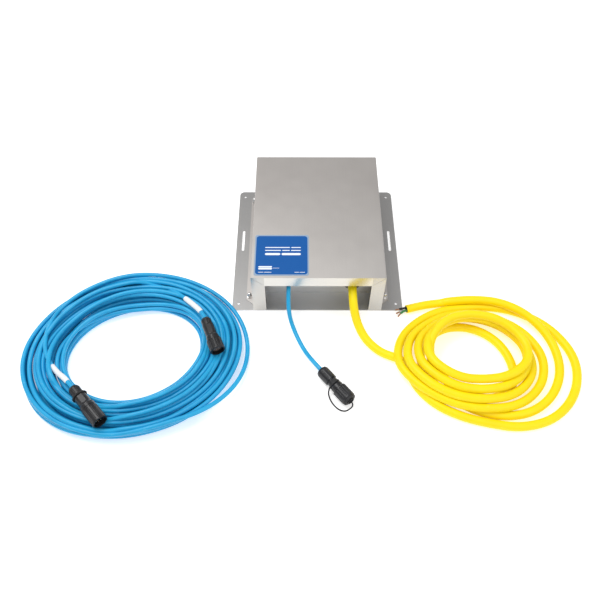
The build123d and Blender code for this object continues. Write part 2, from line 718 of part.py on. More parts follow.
def pigtail_cores():
    """The pair from the board's output to the pigtail's inner end."""
    entry_z = BOARD_TOP + 3
    entry_y = board_terminal_y() - 6.5
    cores = []
    for side in (-1, 1):
        board_x = BOARD_X - 22 + side * 4
        points = [(BLUE_GLAND_X + side * 1.6, CABLE_INNER_Y, BLUE_GLAND_Z),
                  (BLUE_GLAND_X + side * 1.6, CABLE_INNER_Y + 20, BLUE_GLAND_Z),
                  (BLUE_GLAND_X - 10 + side * 3, CABLE_INNER_Y + 42, 40),
                  (board_x, entry_y - 22, entry_z + 4),
                  (board_x, entry_y, entry_z)]
        cores.append(tube(points, THIN_WIRE_DIAMETER, "pigtail_core"))
    return group(cores)


# ---- in-line connectors -------------------------------------------------------------------
class Connector:
    """One in-line connector, built along Z from its cable end and then laid in its place."""

    def __init__(self, back, toward, nut_length, nut_radius, waist, body_length, body_radius,
                 ring_length, ring_radius, male):
        direction = Vector(*toward) - Vector(*back)
        self.axis = direction.normalized()
        self.back = Vector(*back)
        self.place = Plane(back, z_dir=tuple(self.axis)).location
        self.nut_length = nut_length
        self.nut_radius = nut_radius
        self.waist = waist
        self.body_radius = body_radius
        self.body_end = nut_length + body_length
        self.ring_end = self.body_end + ring_length
        self.ring_radius = ring_radius
        self.male = male
        self.insert_floor = self.body_end - INSERT_SINK
        depth = PIN_RISE + PIN_DEPTH if male else FACE_DEPTH
        self.insert_length = self.ring_end - BARREL_SHORT - depth - self.insert_floor

    def point(self, along):
        """A place on the axis, measured from the cable end."""
        return tuple(self.back + self.axis * along)

    def back_nut(self):
        """The rounded nut that grips the cable."""
        bore = BLUE_DIAMETER / 2 + CABLE_GAP
        spigot = self.nut_radius - SPIGOT_WALL + THREAD_GAP
        end = self.nut_length
        shell = turned([(bore, 0), (self.nut_radius - 4, 0), (self.nut_radius - 1.4, 1.4),
                        (self.nut_radius, 5), (self.nut_radius, end), (spigot, end),
                        (spigot, CABLE_SEAT), (bore, CABLE_SEAT)])
        for place in PolarLocations(self.nut_radius + 0.7, 10):
            shell -= place * rod(1.2, end - 8, 0, 0, 6)
        return self.place * shell

    def body(self):
        """The moulded body: spigot in the nut, waist, shoulder and the barrel for the insert."""
        spigot = self.nut_radius - SPIGOT_WALL
        start = self.nut_length
        end = self.body_end
        bead = end + RING_END_GAP + RING_LIP + RING_END_GAP
        front = self.ring_end - BARREL_SHORT
        solid = turned([(0, CABLE_SEAT), (spigot, CABLE_SEAT), (spigot, start), (self.waist, start),
                        (self.waist, end - 9), (self.body_radius, end - 6), (self.body_radius, end),
                        (BARREL_RADIUS, end), (BARREL_RADIUS, bead), (BEAD_RADIUS, bead),
                        (BEAD_RADIUS, bead + BEAD_LENGTH), (BARREL_RADIUS, bead + BEAD_LENGTH),
                        (BARREL_RADIUS, front), (BARREL_BORE, front), (BARREL_BORE, self.insert_floor),
                        (0, self.insert_floor)])
        for side in (-1, 1):
            flat = block(2 * self.waist, 3, end - 12 - start, 0, 0, start + 1.5)
            solid -= Pos(0, side * (self.waist + 0.7), 0) * flat
        return self.place * solid

    def coupling_ring(self):
        """The fluted ring that turns freely on the barrel."""
        floor = self.body_end + RING_END_GAP
        lip = floor + RING_LIP
        inner = BARREL_RADIUS + RING_GAP
        out = self.ring_radius
        shell = turned([(inner, floor), (out - 1, floor), (out, floor + 1), (out, self.ring_end - 1),
                        (out - 1, self.ring_end), (RING_BORE, self.ring_end), (RING_BORE, lip),
                        (inner, lip)])
        length = self.ring_end - floor - 6
        for place in PolarLocations(out + FLUTE_RADIUS * 0.45, FLUTE_COUNT):
            shell -= place * rod(FLUTE_RADIUS, length, 0, 0, floor + 3)
        return self.place * shell

    def contact_places(self):
        """Where the contacts stand round the insert's middle."""
        return PolarLocations(CONTACT_CIRCLE, CONTACT_COUNT)

    def insert(self):
        """The insulating disc that holds the contacts."""
        disc = rod(BARREL_BORE, self.insert_length, 0, 0, self.insert_floor)
        for place in self.contact_places():
            disc -= place * rod(CONTACT_RADIUS, self.insert_length, 0, 0, self.insert_floor)
        return self.place * disc

    def contacts(self):
        """Pins that stand out of the insert, or sockets that end flush with it."""
        length = self.insert_length + (PIN_RISE if self.male else 0)
        pieces = []
        for place in self.contact_places():
            contact = rod(CONTACT_RADIUS, length, 0, 0, self.insert_floor)
            if not self.male:
                contact -= rod(CONTACT_RADIUS / 2, 6, 0, 0, self.insert_floor + length - 6)
            pieces.append(self.place * place * contact)
        return group(pieces)


PIGTAIL = Connector(back=(4.5, -273.5, CONNECTOR_AXIS_Z), toward=(54.0, -333.5, CONNECTOR_AXIS_Z),
                    nut_length=26.0, nut_radius=10.8, waist=9.0, body_length=19.0, body_radius=10.6,
                    ring_length=25.0, ring_radius=12.7, male=False)
PLUG = Connector(back=(-BESIDE - 244.0, -320.0, TOP_CONNECTOR_Z),
                 toward=(-BESIDE - 188.3, -380.8, TOP_CONNECTOR_Z),
                 nut_length=17.0, nut_radius=9.6, waist=10.6, body_length=32.0, body_radius=12.4,
                 ring_length=32.0, ring_radius=13.0, male=True)
SOCKET = Connector(back=(-BESIDE - 41.0, -187.0, TOP_CONNECTOR_Z),
                   toward=(-BESIDE - 13.9, -251.6, TOP_CONNECTOR_Z),
                   nut_length=15.0, nut_radius=8.9, waist=9.8, body_length=31.0, body_radius=11.0,
                   ring_length=23.0, ring_radius=12.8, male=False)


def seal_ring():
    """The round rubber ring on the plug's body, behind its waist."""
    centre = PLUG.nut_length + SEAL_RING_PLACE
    return PLUG.place * Pos(0, 0, centre) * Torus(PLUG.waist + SEAL_RING_TUBE, SEAL_RING_TUBE)


def tether_collar():
    """The strap round the pigtail connector's waist that the tether starts from."""
    floor = PIGTAIL.nut_length + COLLAR_PLACE
    inner = PIGTAIL.waist
    ring = rod(inner + COLLAR_WALL, COLLAR_LENGTH, 0, 0, floor) - rod(inner, COLLAR_LENGTH, 0, 0, floor)
    return PIGTAIL.place * ring


def dust_cap():
    """The cap: a skirt over the barrel, a face with a raised rim, and a hub for the tether."""
    face = PIGTAIL.ring_end + RING_END_GAP
    inner = BARREL_RADIUS + CAP_SKIRT_GAP
    outer = inner + CAP_SKIRT_WALL
    top = face + CAP_FACE_THICK
    cap = turned([(0, face), (inner, face), (inner, face - CAP_SKIRT), (outer, face - CAP_SKIRT),
                  (outer, face), (CAP_FACE_RADIUS, face), (CAP_FACE_RADIUS, top - 1),
                  (CAP_FACE_RADIUS - 1, top), (0, top)])
    rim = rod(CAP_RIM_RADIUS, CAP_RIM_HEIGHT, 0, 0, top)
    rim -= rod(CAP_RIM_RADIUS - CAP_RIM_WALL, CAP_RIM_HEIGHT, 0, 0, top)
    return PIGTAIL.place * (cap + rim + rod(CAP_HUB_RADIUS, CAP_RIM_HEIGHT, 0, 0, top))


# ---- cords --------------------------------------------------------------------------------
PIGTAIL_ROUTE = [(BLUE_GLAND_X, CABLE_INNER_Y, BLUE_GLAND_Z),
                 (BLUE_GLAND_X, -140.0, BLUE_GLAND_Z),
                 (-51.6, -158.0, 54.0),
                 (-50.8, -169.0, 34.0),
                 (-47.0, -179.0, 16.0),
                 (-40.0, -194.0, 5.5),
                 (-32.0, -213.0, 4.2),
                 (-21.6, -234.0, 4.4),
                 PIGTAIL.point(-18.0),
                 PIGTAIL.point(CABLE_SEAT)]

MAINS_ROUTE = [(MAINS_GLAND_X, CABLE_INNER_Y, MAINS_GLAND_Z),
               (MAINS_GLAND_X, -150.0, MAINS_GLAND_Z),
               (62.5, -171.5, 41.0),
               (69.0, -188.5, 24.0),
               (79.5, -205.5, 11.0),
               (93.0, -222.5, 7.9),
               (BESIDE - 42.0, -239.0, 7.6),
               (BESIDE - 23.0, -252.0, 7.6)]

MAINS_TAIL_ROUTE = [(BESIDE + 70.0, -133.5, 7.6),
                    (BESIDE + 49.0, -136.0, 7.6),
                    (BESIDE + 28.0, -140.5, 7.6),
                    (BESIDE + 6.0, -147.0, 7.6)]

PLUG_ROUTE = [(-BESIDE - 298.0, -154.5, 24.5),
              (-BESIDE - 309.0, -182.0, 27.9),
              (-BESIDE - 313.5, -211.0, 28.2),
              (-BESIDE - 310.0, -240.0, 28.3),
              (-BESIDE - 297.5, -266.0, 28.6),
              (-BESIDE - 279.0, -288.0, 30.2),
              PLUG.point(-21.0),
              PLUG.point(CABLE_SEAT)]

SOCKET_ROUTE = [(-BESIDE - 136.0, -108.0, 25.0),
                (-BESIDE - 110.0, -119.0, 28.0),
                (-BESIDE - 88.0, -134.0, 31.0),
                (-BESIDE - 68.0, -153.0, 35.0),
                SOCKET.point(-14.0),
                SOCKET.point(CABLE_SEAT)]


def tether_route():
    """The tether's loop, from its collar round on the floor side to the cap's hub."""
    axis = PIGTAIL.axis
    side = Vector(axis.Y, -axis.X, 0)
    collar = PIGTAIL.nut_length + COLLAR_PLACE + COLLAR_LENGTH / 2
    hub = PIGTAIL.ring_end + RING_END_GAP + CAP_FACE_THICK + CAP_RIM_HEIGHT + TETHER_END_GAP
    out = PIGTAIL.waist + COLLAR_WALL
    steps = [(collar, out, 0.0), (collar + 2.0, out + 6.0, -5.0), (collar + 12.0, out + 10.3, -10.6),
             (collar + 24.0, out + 12.1, -11.9), (collar + 36.0, out + 11.0, -11.8),
             (hub + 4.5, out + 5.5, -9.5), (hub + 7.0, out - 2.2, -5.0), (hub + 7.3, 3.5, -2.0),
             (hub + 4.2, 0.0, 0.0), (hub, 0.0, 0.0)]
    route = []
    for along, away, lift in steps:
        place = PIGTAIL.back + axis * along + side * away + Vector(0, 0, lift)
        route.append(tuple(place))
    return route


def oval_coil(centre, radii, hole_centre, hole_radii, height, tilt):
    """The plain outer shape of a coil: a thick oval ring on the floor."""
    outer = Pos(*centre) * Rot(0, 0, tilt) * Ellipse(*radii)
    hole = Pos(*hole_centre) * Rot(0, 0, tilt) * Ellipse(*hole_radii)
    return extrude(outer - hole, height)


def free_conductor(offset, bend, name):
    """One short conductor that stands out of the mains cable's cut end."""
    end = Vector(*MAINS_TAIL_ROUTE[-1])
    before = Vector(*MAINS_TAIL_ROUTE[-2])
    axis = (end - before).normalized()
    side = Vector(axis.Y, -axis.X, 0)
    start = end + side * offset[0] + Vector(0, 0, offset[1])
    middle = start + axis * CORE_BARE * 0.5
    tip = middle + axis * CORE_BARE * 0.5 + side * bend[0] + Vector(0, 0, bend[1])
    return tube([tuple(start), tuple(middle), tuple(tip)], CORE_DIAMETER, name)


def marker_sleeves():
    """The white sleeves on the extension cable, one behind each connector."""
    sleeves = []
    for route, start in ((PLUG_ROUTE, 4), (SOCKET_ROUTE, 1)):
        first = Vector(*route[start])
        second = Vector(*route[start + 1])
        along = (second - first).normalized()
        run = (second - first).length
        place = Plane(tuple(first + along * run * 0.28), z_dir=tuple(along)).location
        length = run * 0.44
        ring = Cylinder(BLUE_DIAMETER / 2 + SLEEVE_WALL, length) - Cylinder(BLUE_DIAMETER / 2, length)
        sleeves.append(place * Pos(0, 0, length / 2) * ring)
    return group(sleeves)


def save_box():
    """The sheet-metal box and its fasteners."""
    save(back_plate(), "back_plate")
    save(cover(), "cover")
    save(bulkhead(), "bulkhead")
    save(plate_studs(), "plate_studs")
    save(nut_washers(), "nut_washers")
    save(acorn_nuts(), "acorn_nuts")
    save(bulkhead_screws(), "bulkhead_screws")
    save(label_plate(), "label_plate")


def save_glands():
    """Both cable glands."""
    for gland, name in ((MAINS_GLAND, "mains_gland"), (BLUE_GLAND, "pigtail_gland")):
        save(gland.body(), f"{name}_body")
        save(gland.nut(), f"{name}_nut")
    save(group([MAINS_GLAND.seal(), BLUE_GLAND.seal()]), "gland_seals")
    save(group([MAINS_GLAND.locknut(), BLUE_GLAND.locknut()]), "gland_locknuts")


def save_inside():
    """The converter, the barrier board, the earth point and the inner wires."""
    save(supply_case(), "supply_case")
    save(supply_lid(), "supply_lid")
    save(supply_terminals(), "supply_terminals")
    save(barrier_board(), "barrier_board")
    save(board_standoffs(), "board_standoffs")
    save(small_screws(), "small_screws")
    save(transformer_core(), "transformer_core")
    save(transformer_coil(), "transformer_coil")
    save(barrier_parts(), "barrier_parts")
    save(fuse_holder(), "fuse_holder")
    save(fuse(), "fuse")
    save(board_terminals(), "board_terminals")
    save(ground_lug(), "ground_lug")
    save(ground_nut(), "ground_nut")
    save(mains_wire(0, INNER_WIRE_OFFSET, "live_wire"), "live_wire")
    save(mains_wire(1, -INNER_WIRE_OFFSET, "neutral_wire"), "neutral_wire")
    save(ground_wire(), "ground_wire")
    save(link_wires(), "link_wires")
    save(pigtail_cores(), "pigtail_cores")


def save_connectors():
    """The three in-line connectors and the pieces on them."""
    for connector, name in ((PIGTAIL, "pigtail"), (PLUG, "plug"), (SOCKET, "socket")):
        save(connector.back_nut(), f"{name}_back_nut")
        save(connector.body(), f"{name}_body")
        save(connector.coupling_ring(), f"{name}_coupling_ring")
        save(connector.insert(), f"{name}_insert")
        save(connector.contacts(), f"{name}_contacts")
    save(seal_ring(), "plug_seal_ring")
    save(tether_collar(), "tether_collar")
    save(dust_cap(), "dust_cap")


def save_cords():
    """Every cord's plain solids, its bare conductors and its sleeves."""
    save(tube(PIGTAIL_ROUTE, BLUE_DIAMETER, "pigtail_cable"), "pigtail_cable")
    mains = [tube(MAINS_ROUTE, MAINS_DIAMETER, "mains lead"),
             tube(MAINS_TAIL_ROUTE, MAINS_DIAMETER, "mains tail")]
    save(group(mains), "mains_cable")
    extension = [tube(PLUG_ROUTE, BLUE_DIAMETER, "plug lead"),
                 tube(SOCKET_ROUTE, BLUE_DIAMETER, "socket lead")]
    save(group(extension), "extension_leads")
    save(tube(tether_route(), TETHER_DIAMETER, "cap_tether"), "cap_tether")
    mains_turns = oval_coil(MAINS_COIL_CENTRE, MAINS_COIL_RADII, MAINS_HOLE_CENTRE, MAINS_HOLE_RADII,
                            MAINS_COIL_HEIGHT, 0)
    save(Pos(BESIDE, 0, 0) * mains_turns, "mains_coil")
    extension_turns = oval_coil(BLUE_COIL_CENTRE, BLUE_COIL_RADII, BLUE_COIL_CENTRE, BLUE_HOLE_RADII,
                                BLUE_COIL_HEIGHT, BLUE_COIL_TILT)
    save(Pos(-BESIDE, 0, 0) * extension_turns, "extension_coil")
    conductors = [free_conductor((2.6, 1.6), (1.0, -0.5), "live_end"),
                  free_conductor((0.2, -2.9), (-1.5, -0.4), "neutral_end"),
                  free_conductor((-2.8, 0.6), (-7.0, -2.5), "ground_end")]
    save(group(conductors), "free_conductors")
    save(marker_sleeves(), "marker_sleeves")


save_box()
save_glands()
save_inside()
save_connectors()
save_cords()
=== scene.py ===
import math
import random

import bmesh
import bpy
import numpy as np
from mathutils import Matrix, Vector


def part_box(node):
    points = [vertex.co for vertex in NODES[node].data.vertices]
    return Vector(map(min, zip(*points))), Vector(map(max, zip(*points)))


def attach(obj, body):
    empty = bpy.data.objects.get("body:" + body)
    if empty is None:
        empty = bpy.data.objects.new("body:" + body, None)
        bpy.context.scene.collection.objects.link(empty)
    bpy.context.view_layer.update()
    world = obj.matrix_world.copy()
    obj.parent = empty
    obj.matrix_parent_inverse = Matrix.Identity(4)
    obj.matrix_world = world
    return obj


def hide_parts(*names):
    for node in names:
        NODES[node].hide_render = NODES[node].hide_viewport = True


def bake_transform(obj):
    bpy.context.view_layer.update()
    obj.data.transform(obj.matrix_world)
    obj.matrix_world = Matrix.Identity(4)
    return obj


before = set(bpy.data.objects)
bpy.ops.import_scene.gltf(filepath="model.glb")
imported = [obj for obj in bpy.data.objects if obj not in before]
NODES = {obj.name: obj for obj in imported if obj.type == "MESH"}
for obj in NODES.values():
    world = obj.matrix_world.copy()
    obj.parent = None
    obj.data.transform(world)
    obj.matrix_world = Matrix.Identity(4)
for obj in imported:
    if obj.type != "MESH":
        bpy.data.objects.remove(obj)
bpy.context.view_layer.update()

SCENE = bpy.context.scene

# ---- sizes that this scene shares with the CAD, in metres ---------------------------------
BLUE_THICK = 0.0075
MAINS_THICK = 0.015
TETHER_THICK = 0.0024
CONDUCTOR_THICK = 0.004
CABLE_SEAT = 0.004
CABLE_INNER_Y = -0.104


class Connector:
    """The axis of one in-line connector, measured from its cable end."""

    def __init__(self, back, toward):
        self.back = Vector(back)
        self.axis = (Vector(toward) - self.back).normalized()

    def point(self, along):
        """A place on the axis."""
        return tuple(self.back + self.axis * along)


PIGTAIL = Connector((0.0045, -0.2735, 0.0132), (0.054, -0.3335, 0.0132))
PLUG = Connector((-0.398, -0.320, 0.0374), (-0.3423, -0.3808, 0.0374))
SOCKET = Connector((-0.195, -0.187, 0.0374), (-0.1679, -0.2516, 0.0374))

PIGTAIL_ROUTE = [(-0.051, CABLE_INNER_Y, 0.066), (-0.051, -0.140, 0.066), (-0.0516, -0.158, 0.054),
                 (-0.0508, -0.169, 0.034), (-0.047, -0.179, 0.016), (-0.040, -0.194, 0.0055),
                 (-0.032, -0.213, 0.0042), (-0.0216, -0.234, 0.0044), PIGTAIL.point(-0.018),
                 PIGTAIL.point(CABLE_SEAT)]
MAINS_ROUTE = [(0.060, CABLE_INNER_Y, 0.058), (0.060, -0.150, 0.058), (0.0625, -0.1715, 0.041),
               (0.069, -0.1885, 0.024), (0.0795, -0.2055, 0.011), (0.093, -0.2225, 0.0079),
               (0.112, -0.239, 0.0076), (0.131, -0.252, 0.0076)]
MAINS_TAIL_ROUTE = [(0.224, -0.1335, 0.0076), (0.203, -0.1360, 0.0076), (0.182, -0.1405, 0.0076),
                    (0.160, -0.1470, 0.0076)]
PLUG_ROUTE = [(-0.452, -0.1545, 0.0245), (-0.463, -0.182, 0.0279), (-0.4675, -0.211, 0.0282),
              (-0.464, -0.240, 0.0283), (-0.4515, -0.266, 0.0286), (-0.433, -0.288, 0.0302),
              PLUG.point(-0.021), PLUG.point(CABLE_SEAT)]
SOCKET_ROUTE = [(-0.290, -0.108, 0.025), (-0.264, -0.119, 0.028), (-0.242, -0.134, 0.031),
                (-0.222, -0.153, 0.035), SOCKET.point(-0.014), SOCKET.point(CABLE_SEAT)]


# ---- camera -------------------------------------------------------------------------------
def set_camera():
    """The camera stands in front of the open end and looks steeply down."""
    data = bpy.data.cameras.new("camera")
    data.lens = 40.0
    data.sensor_width = 36.0
    camera = bpy.data.objects.new("camera", data)
    camera.location = (-0.030, -0.811, 1.0057)
    camera.rotation_euler = (math.radians(34.42), 0.0, math.radians(0.11))
    SCENE.collection.objects.link(camera)
    SCENE.camera = camera


# ---- shared ways to make a piece ----------------------------------------------------------
def link_object(name, data):
    """A new object in the scene."""
    piece = bpy.data.objects.new(name, data)
    SCENE.collection.objects.link(piece)
    return piece


def route_curve(name, route, thickness=0.0):
    """A smooth line that has the route's points as its control points."""
    data = bpy.data.curves.new(name, "CURVE")
    data.dimensions = "3D"
    data.resolution_u = 8
    data.bevel_depth = 1.0 if thickness else 0.0
    data.bevel_resolution = 5
    data.use_fill_caps = thickness > 0
    spline = data.splines.new("NURBS")
    spline.points.add(len(route) - 1)
    for point, place in zip(spline.points, route):
        point.co = (*place, 1.0)
        point.radius = thickness / 2
    spline.order_u = 3
    spline.use_endpoint_u = True
    return link_object(name, data)


def line_along(route):
    """Closely spaced points read from the route's smooth line."""
    guide = route_curve("guide", route)
    bpy.context.view_layer.update()
    depsgraph = bpy.context.evaluated_depsgraph_get()
    mesh = bpy.data.meshes.new_from_object(guide.evaluated_get(depsgraph))
    line = [vertex.co.copy() for vertex in mesh.vertices]
    data = guide.data
    bpy.data.objects.remove(guide)
    bpy.data.curves.remove(data)
    bpy.data.meshes.remove(mesh)
    return line


def mesh_piece(name, shape, smooth=True):
    """Turns a finished bmesh into an object."""
    bmesh.ops.recalc_face_normals(shape, faces=shape.faces)
    mesh = bpy.data.meshes.new(name)
    shape.to_mesh(mesh)
    shape.free()
    if smooth:
        mesh.polygons.foreach_set("use_smooth", [True] * len(mesh.polygons))
    return link_object(name, mesh)


def add_ring(shape, centre, across, up, radius, sides):
    """A ring of new vertices round a centre, in the plane of two directions."""
    ring = []
    for step in range(sides):
        turn = 2 * math.pi * step / sides
        ring.append(shape.verts.new(centre + (across * math.cos(turn) + up * math.sin(turn)) * radius))
    return ring


def skin_rings(shape, rings):
    """Faces from each ring to the next one, and over both ends."""
    sides = len(rings[0])
    for near, far in zip(rings, rings[1:]):
        for step in range(sides):
            following = (step + 1) % sides
            shape.faces.new((near[step], near[following], far[following], far[step]))
    shape.faces.new(rings[0])
    shape.faces.new(rings[-1])


def tube_piece(name, line, radii, sides=20):
    """A closed tube along a line, with its own radius at every point of the line."""
    shape = bmesh.new()
    up = Vector((0, 0, 1))
    rings = []
    for index, here in enumerate(line):
        before = line[max(index - 1, 0)]
        after = line[min(index + 1, len(line) - 1)]
        forward = (after - before).normalized()
        across = forward.cross(up)
        if across.length < 0.2:
            across = forward.cross(Vector((1, 0, 0)))
        across.normalize()
        up = across.cross(forward).normalized()
        rings.append(add_ring(shape, here, across, up, radii[index], sides))
    skin_rings(shape, rings)
    return mesh_piece(name, shape)


# ---- laying a cord down -------------------------------------------------------------------
LAY_STEP = 0.006
SOFTEN = 3


def laid_heights(flat, thickness, stretches, steepest, ends):
    """Heights for a cord's flat points. Each stretch rests on the floor or on what was laid before it.

    stretches are pairs of point numbers in the order they are laid, and ends the heights that the
    cord has before its first point and after its last one.
    """
    fine = []
    marks = []
    for here, after in zip(flat, flat[1:]):
        marks.append(len(fine))
        count = max(1, round(math.dist(here, after) / LAY_STEP))
        for step in range(count):
            share = step / count
            fine.append((here[0] + (after[0] - here[0]) * share, here[1] + (after[1] - here[1]) * share))
    marks.append(len(fine))
    fine.append(flat[-1])
    places = np.array(fine)
    total = len(fine)
    heights = np.zeros(total)
    laid = np.zeros(total, bool)
    numbers = np.arange(total)
    drop = steepest * LAY_STEP
    apart = int(4 * thickness / LAY_STEP)
    for first, last in stretches:
        own = numbers[marks[first]:marks[last] + (last == len(flat) - 1)]
        under = numbers[laid]
        heights[own] = thickness / 2
        if len(under):
            gaps = np.linalg.norm(places[own][:, None] - places[under][None], axis=2)
            touching = (gaps < thickness) & (np.abs(own[:, None] - under[None]) > apart)
            rise = np.sqrt(np.maximum(thickness ** 2 - gaps ** 2, 0))
            resting = np.where(touching, heights[under][None] + rise, 0).max(axis=1)
            heights[own] = np.maximum(heights[own], resting)
        laid[own] = True
        if own[0] == 0:
            heights[0] = max(heights[0], ends[0])
        if own[-1] == total - 1:
            heights[-1] = max(heights[-1], ends[1])
        for number in range(max(own[0], 1), total):
            if not laid[number] or (number > own[-1] and heights[number] >= heights[number - 1] - drop):
                break
            heights[number] = max(heights[number], heights[number - 1] - drop)
        for number in range(min(own[-1], total - 2), -1, -1):
            if not laid[number] or (number < own[0] and heights[number] >= heights[number + 1] - drop):
                break
            heights[number] = max(heights[number], heights[number + 1] - drop)
    wide = np.pad(heights, SOFTEN, mode="edge")
    window = 2 * SOFTEN + 1
    soft = sum(wide[shift:shift + total] for shift in range(window)) / window
    return [float(max(soft[mark], thickness / 2)) for mark in marks]


# ---- the blue extension cord --------------------------------------------------------------
EXTENSION_CENTRE = (-0.316, -0.241)
EXTENSION_TILT = math.radians(12)
EXTENSION_OUTER = (0.18625, 0.15225)
EXTENSION_INNER = (0.11175, 0.09175)
EXTENSION_POINTS = 32
EXTENSION_TURNS = 25
PLUG_JOIN = math.radians(129.9)
SOCKET_JOIN = math.radians(70.8)
LANE_STOPS = ((0.0, 0.10), (0.14, 0.06), (0.333, -0.09), (0.458, -0.20), (0.513, -0.15), (0.57, 0.00),
              (8.6, 0.97), (16.4, 0.01), (22.8, 0.98), (25.2, 0.335))
LOOSE_END = 0.57
EXTENSION_STEEPEST = 0.12
# Each wave that sways the lane: how far, and how many times a turn.
LANE_WAVES = ((0.020, 1.03), (0.017, 2.04), (0.018, 0.57), (0.014, 1.46), (0.012, 2.61))
SWAY_RISE = 0.4
SWAY_FALL = 0.5
SWAY_END = 24.9
# Where the coil swells: by what share of its width, and toward which direction in degrees.
OUTER_SWELLS = ((0.07, 140), (0.10, -105))
INNER_SWELL = 0.10
INNER_SWELL_TOWARD = 30
SETTLING = 0.3
INNER_LANES = 0.75
FAR_DIP = 0.16
# The room under the two connectors that lie on the coil.
CONNECTOR_SPAN = (-0.006, 0.078)
UNDER_CONNECTOR = 0.0205
BESIDE_CONNECTOR = 0.015
ROOM_SLOPE = 0.6


def extension_lane(turn, waves):
    """How far in from the coil's outer edge the cord is, from 0 to 1, after so many turns."""
    turns, lanes = zip(*LANE_STOPS)
    lane = float(np.interp(turn, turns, lanes))
    ease = min(1.0, max(0.0, (turn - LOOSE_END) / SWAY_RISE), max(0.0, (SWAY_END - turn) / SWAY_FALL))
    sway = sum(size * math.sin(2 * math.pi * (rate * turn + start)) for size, rate, start in waves)
    return lane + ease * sway


def bulge(angle, middle):
    """A soft bump from 0 to 1 about one direction, given in degrees."""
    return max(0.0, math.cos(angle - math.radians(middle))) ** 3


def extension_flat():
    """The coil's flat points, clockwise from the plug's lead to the socket's lead."""
    chance = random.Random(7)
    waves = [(size, rate, chance.random()) for size, rate in LANE_WAVES]
    sweep = PLUG_JOIN - SOCKET_JOIN + 2 * math.pi * EXTENSION_TURNS
    count = int(sweep / (2 * math.pi) * EXTENSION_POINTS)
    flat = []
    for number in range(1, count):
        gone = sweep * number / count
        turn = gone / (2 * math.pi)
        angle = PLUG_JOIN - gone
        lane = extension_lane(turn, waves)
        inward = max(0.0, lane - INNER_LANES) / (1 - INNER_LANES)
        lane += FAR_DIP * inward * max(0.0, math.sin(angle)) ** 2
        if turn > LOOSE_END:
            settled = min(1.0, (turn - LOOSE_END) / SETTLING)
            swell = sum(size * bulge(angle, toward) for size, toward in OUTER_SWELLS)
            inner = INNER_SWELL * lane * bulge(angle, INNER_SWELL_TOWARD)
            lane -= settled * (swell * (1 - lane) + inner)
        x = (EXTENSION_OUTER[0] + (EXTENSION_INNER[0] - EXTENSION_OUTER[0]) * lane) * math.cos(angle)
        y = (EXTENSION_OUTER[1] + (EXTENSION_INNER[1] - EXTENSION_OUTER[1]) * lane) * math.sin(angle)
        flat.append((EXTENSION_CENTRE[0] + x * math.cos(EXTENSION_TILT) - y * math.sin(EXTENSION_TILT),
                     EXTENSION_CENTRE[1] + x * math.sin(EXTENSION_TILT) + y * math.cos(EXTENSION_TILT)))
    return flat


def room_above(x, y):
    """The greatest height of the cord's middle that leaves room for the connectors on the coil."""
    rooms = []
    for connector in (PLUG, SOCKET):
        near = Vector(connector.back).to_2d()
        along = connector.axis.to_2d()
        beside = min(max((Vector((x, y)) - near).dot(along), CONNECTOR_SPAN[0]), CONNECTOR_SPAN[1])
        away = (Vector((x, y)) - near - along * beside).length
        rooms.append(UNDER_CONNECTOR + ROOM_SLOPE * max(0.0, away - BESIDE_CONNECTOR))
    return min(rooms)


def extension_route():
    """The whole extension cord's control points, from the plug to the socket."""
    flat = extension_flat()
    last = len(flat) - 1
    top_turn = int(LOOSE_END * EXTENSION_POINTS)
    half_turn = EXTENSION_POINTS // 2
    stretches = [(start, min(start + half_turn, last)) for start in range(top_turn, last, half_turn)]
    stretches.append((0, top_turn))
    ends = (PLUG_ROUTE[0][2], SOCKET_ROUTE[0][2])
    heights = laid_heights(flat, BLUE_THICK, stretches, EXTENSION_STEEPEST, ends)
    coil = [(x, y, min(z, room_above(x, y))) for (x, y), z in zip(flat, heights)]
    return PLUG_ROUTE[::-1] + coil + SOCKET_ROUTE


# ---- the yellow mains cable ---------------------------------------------------------------
MAINS_POINTS = 16
MAINS_MIDDLE = (0.272, -0.252)
# How far each loose turn reaches from the middle, at eight even directions, counter-clockwise from the left.
MAINS_REACH = (0.140, 0.116, 0.115, 0.155, 0.171, 0.136, 0.109, 0.122,
               0.141, 0.106, 0.096, 0.105, 0.115, 0.101, 0.094, 0.106,
               0.126, 0.098, 0.083, 0.087, 0.094, 0.085, 0.080, 0.093,
               0.108, 0.084, 0.068, 0.071, 0.084, 0.078, 0.073, 0.082,
               0.093, 0.070, 0.052, 0.060, 0.082, 0.076, 0.070, 0.080,
               0.088, 0.078, 0.076, 0.072, 0.056, 0.054, 0.064, 0.085,
               0.100, 0.088, 0.099, 0.127, 0.142, 0.130, 0.119, 0.128)
MAINS_LAST = 6.80
MAINS_STEEPEST = 0.16
# The turns at which each stretch starts and ends, in the order in which they are laid.
MAINS_LAID = ((5.5, 6.35), (5.0, 5.5), (0.0, 0.9), (0.9, 1.9), (1.9, 2.9), (2.9, 3.9), (3.9, 5.0),
              (6.35, 7.0))


def eased(values, place):
    """A smooth line through evenly spaced values."""
    first = min(max(int(place), 1), len(values) - 3)
    share = place - first
    before, here, after, beyond = values[first - 1:first + 3]
    return here + 0.5 * share * (after - before + share * (2 * before - 5 * here + 4 * after - beyond
                                                           + share * (3 * (here - after) + beyond - before)))


def mains_flat():
    """The loose turns' flat points, from the left side of the first turn to the cable's free end."""
    flat = []
    count = int(MAINS_LAST * MAINS_POINTS)
    for number in range(count + 1):
        turn = MAINS_LAST * number / count
        angle = math.pi + 2 * math.pi * turn
        reach = eased(MAINS_REACH, 8 * turn)
        flat.append((MAINS_MIDDLE[0] + reach * math.cos(angle), MAINS_MIDDLE[1] + reach * math.sin(angle)))
    return flat


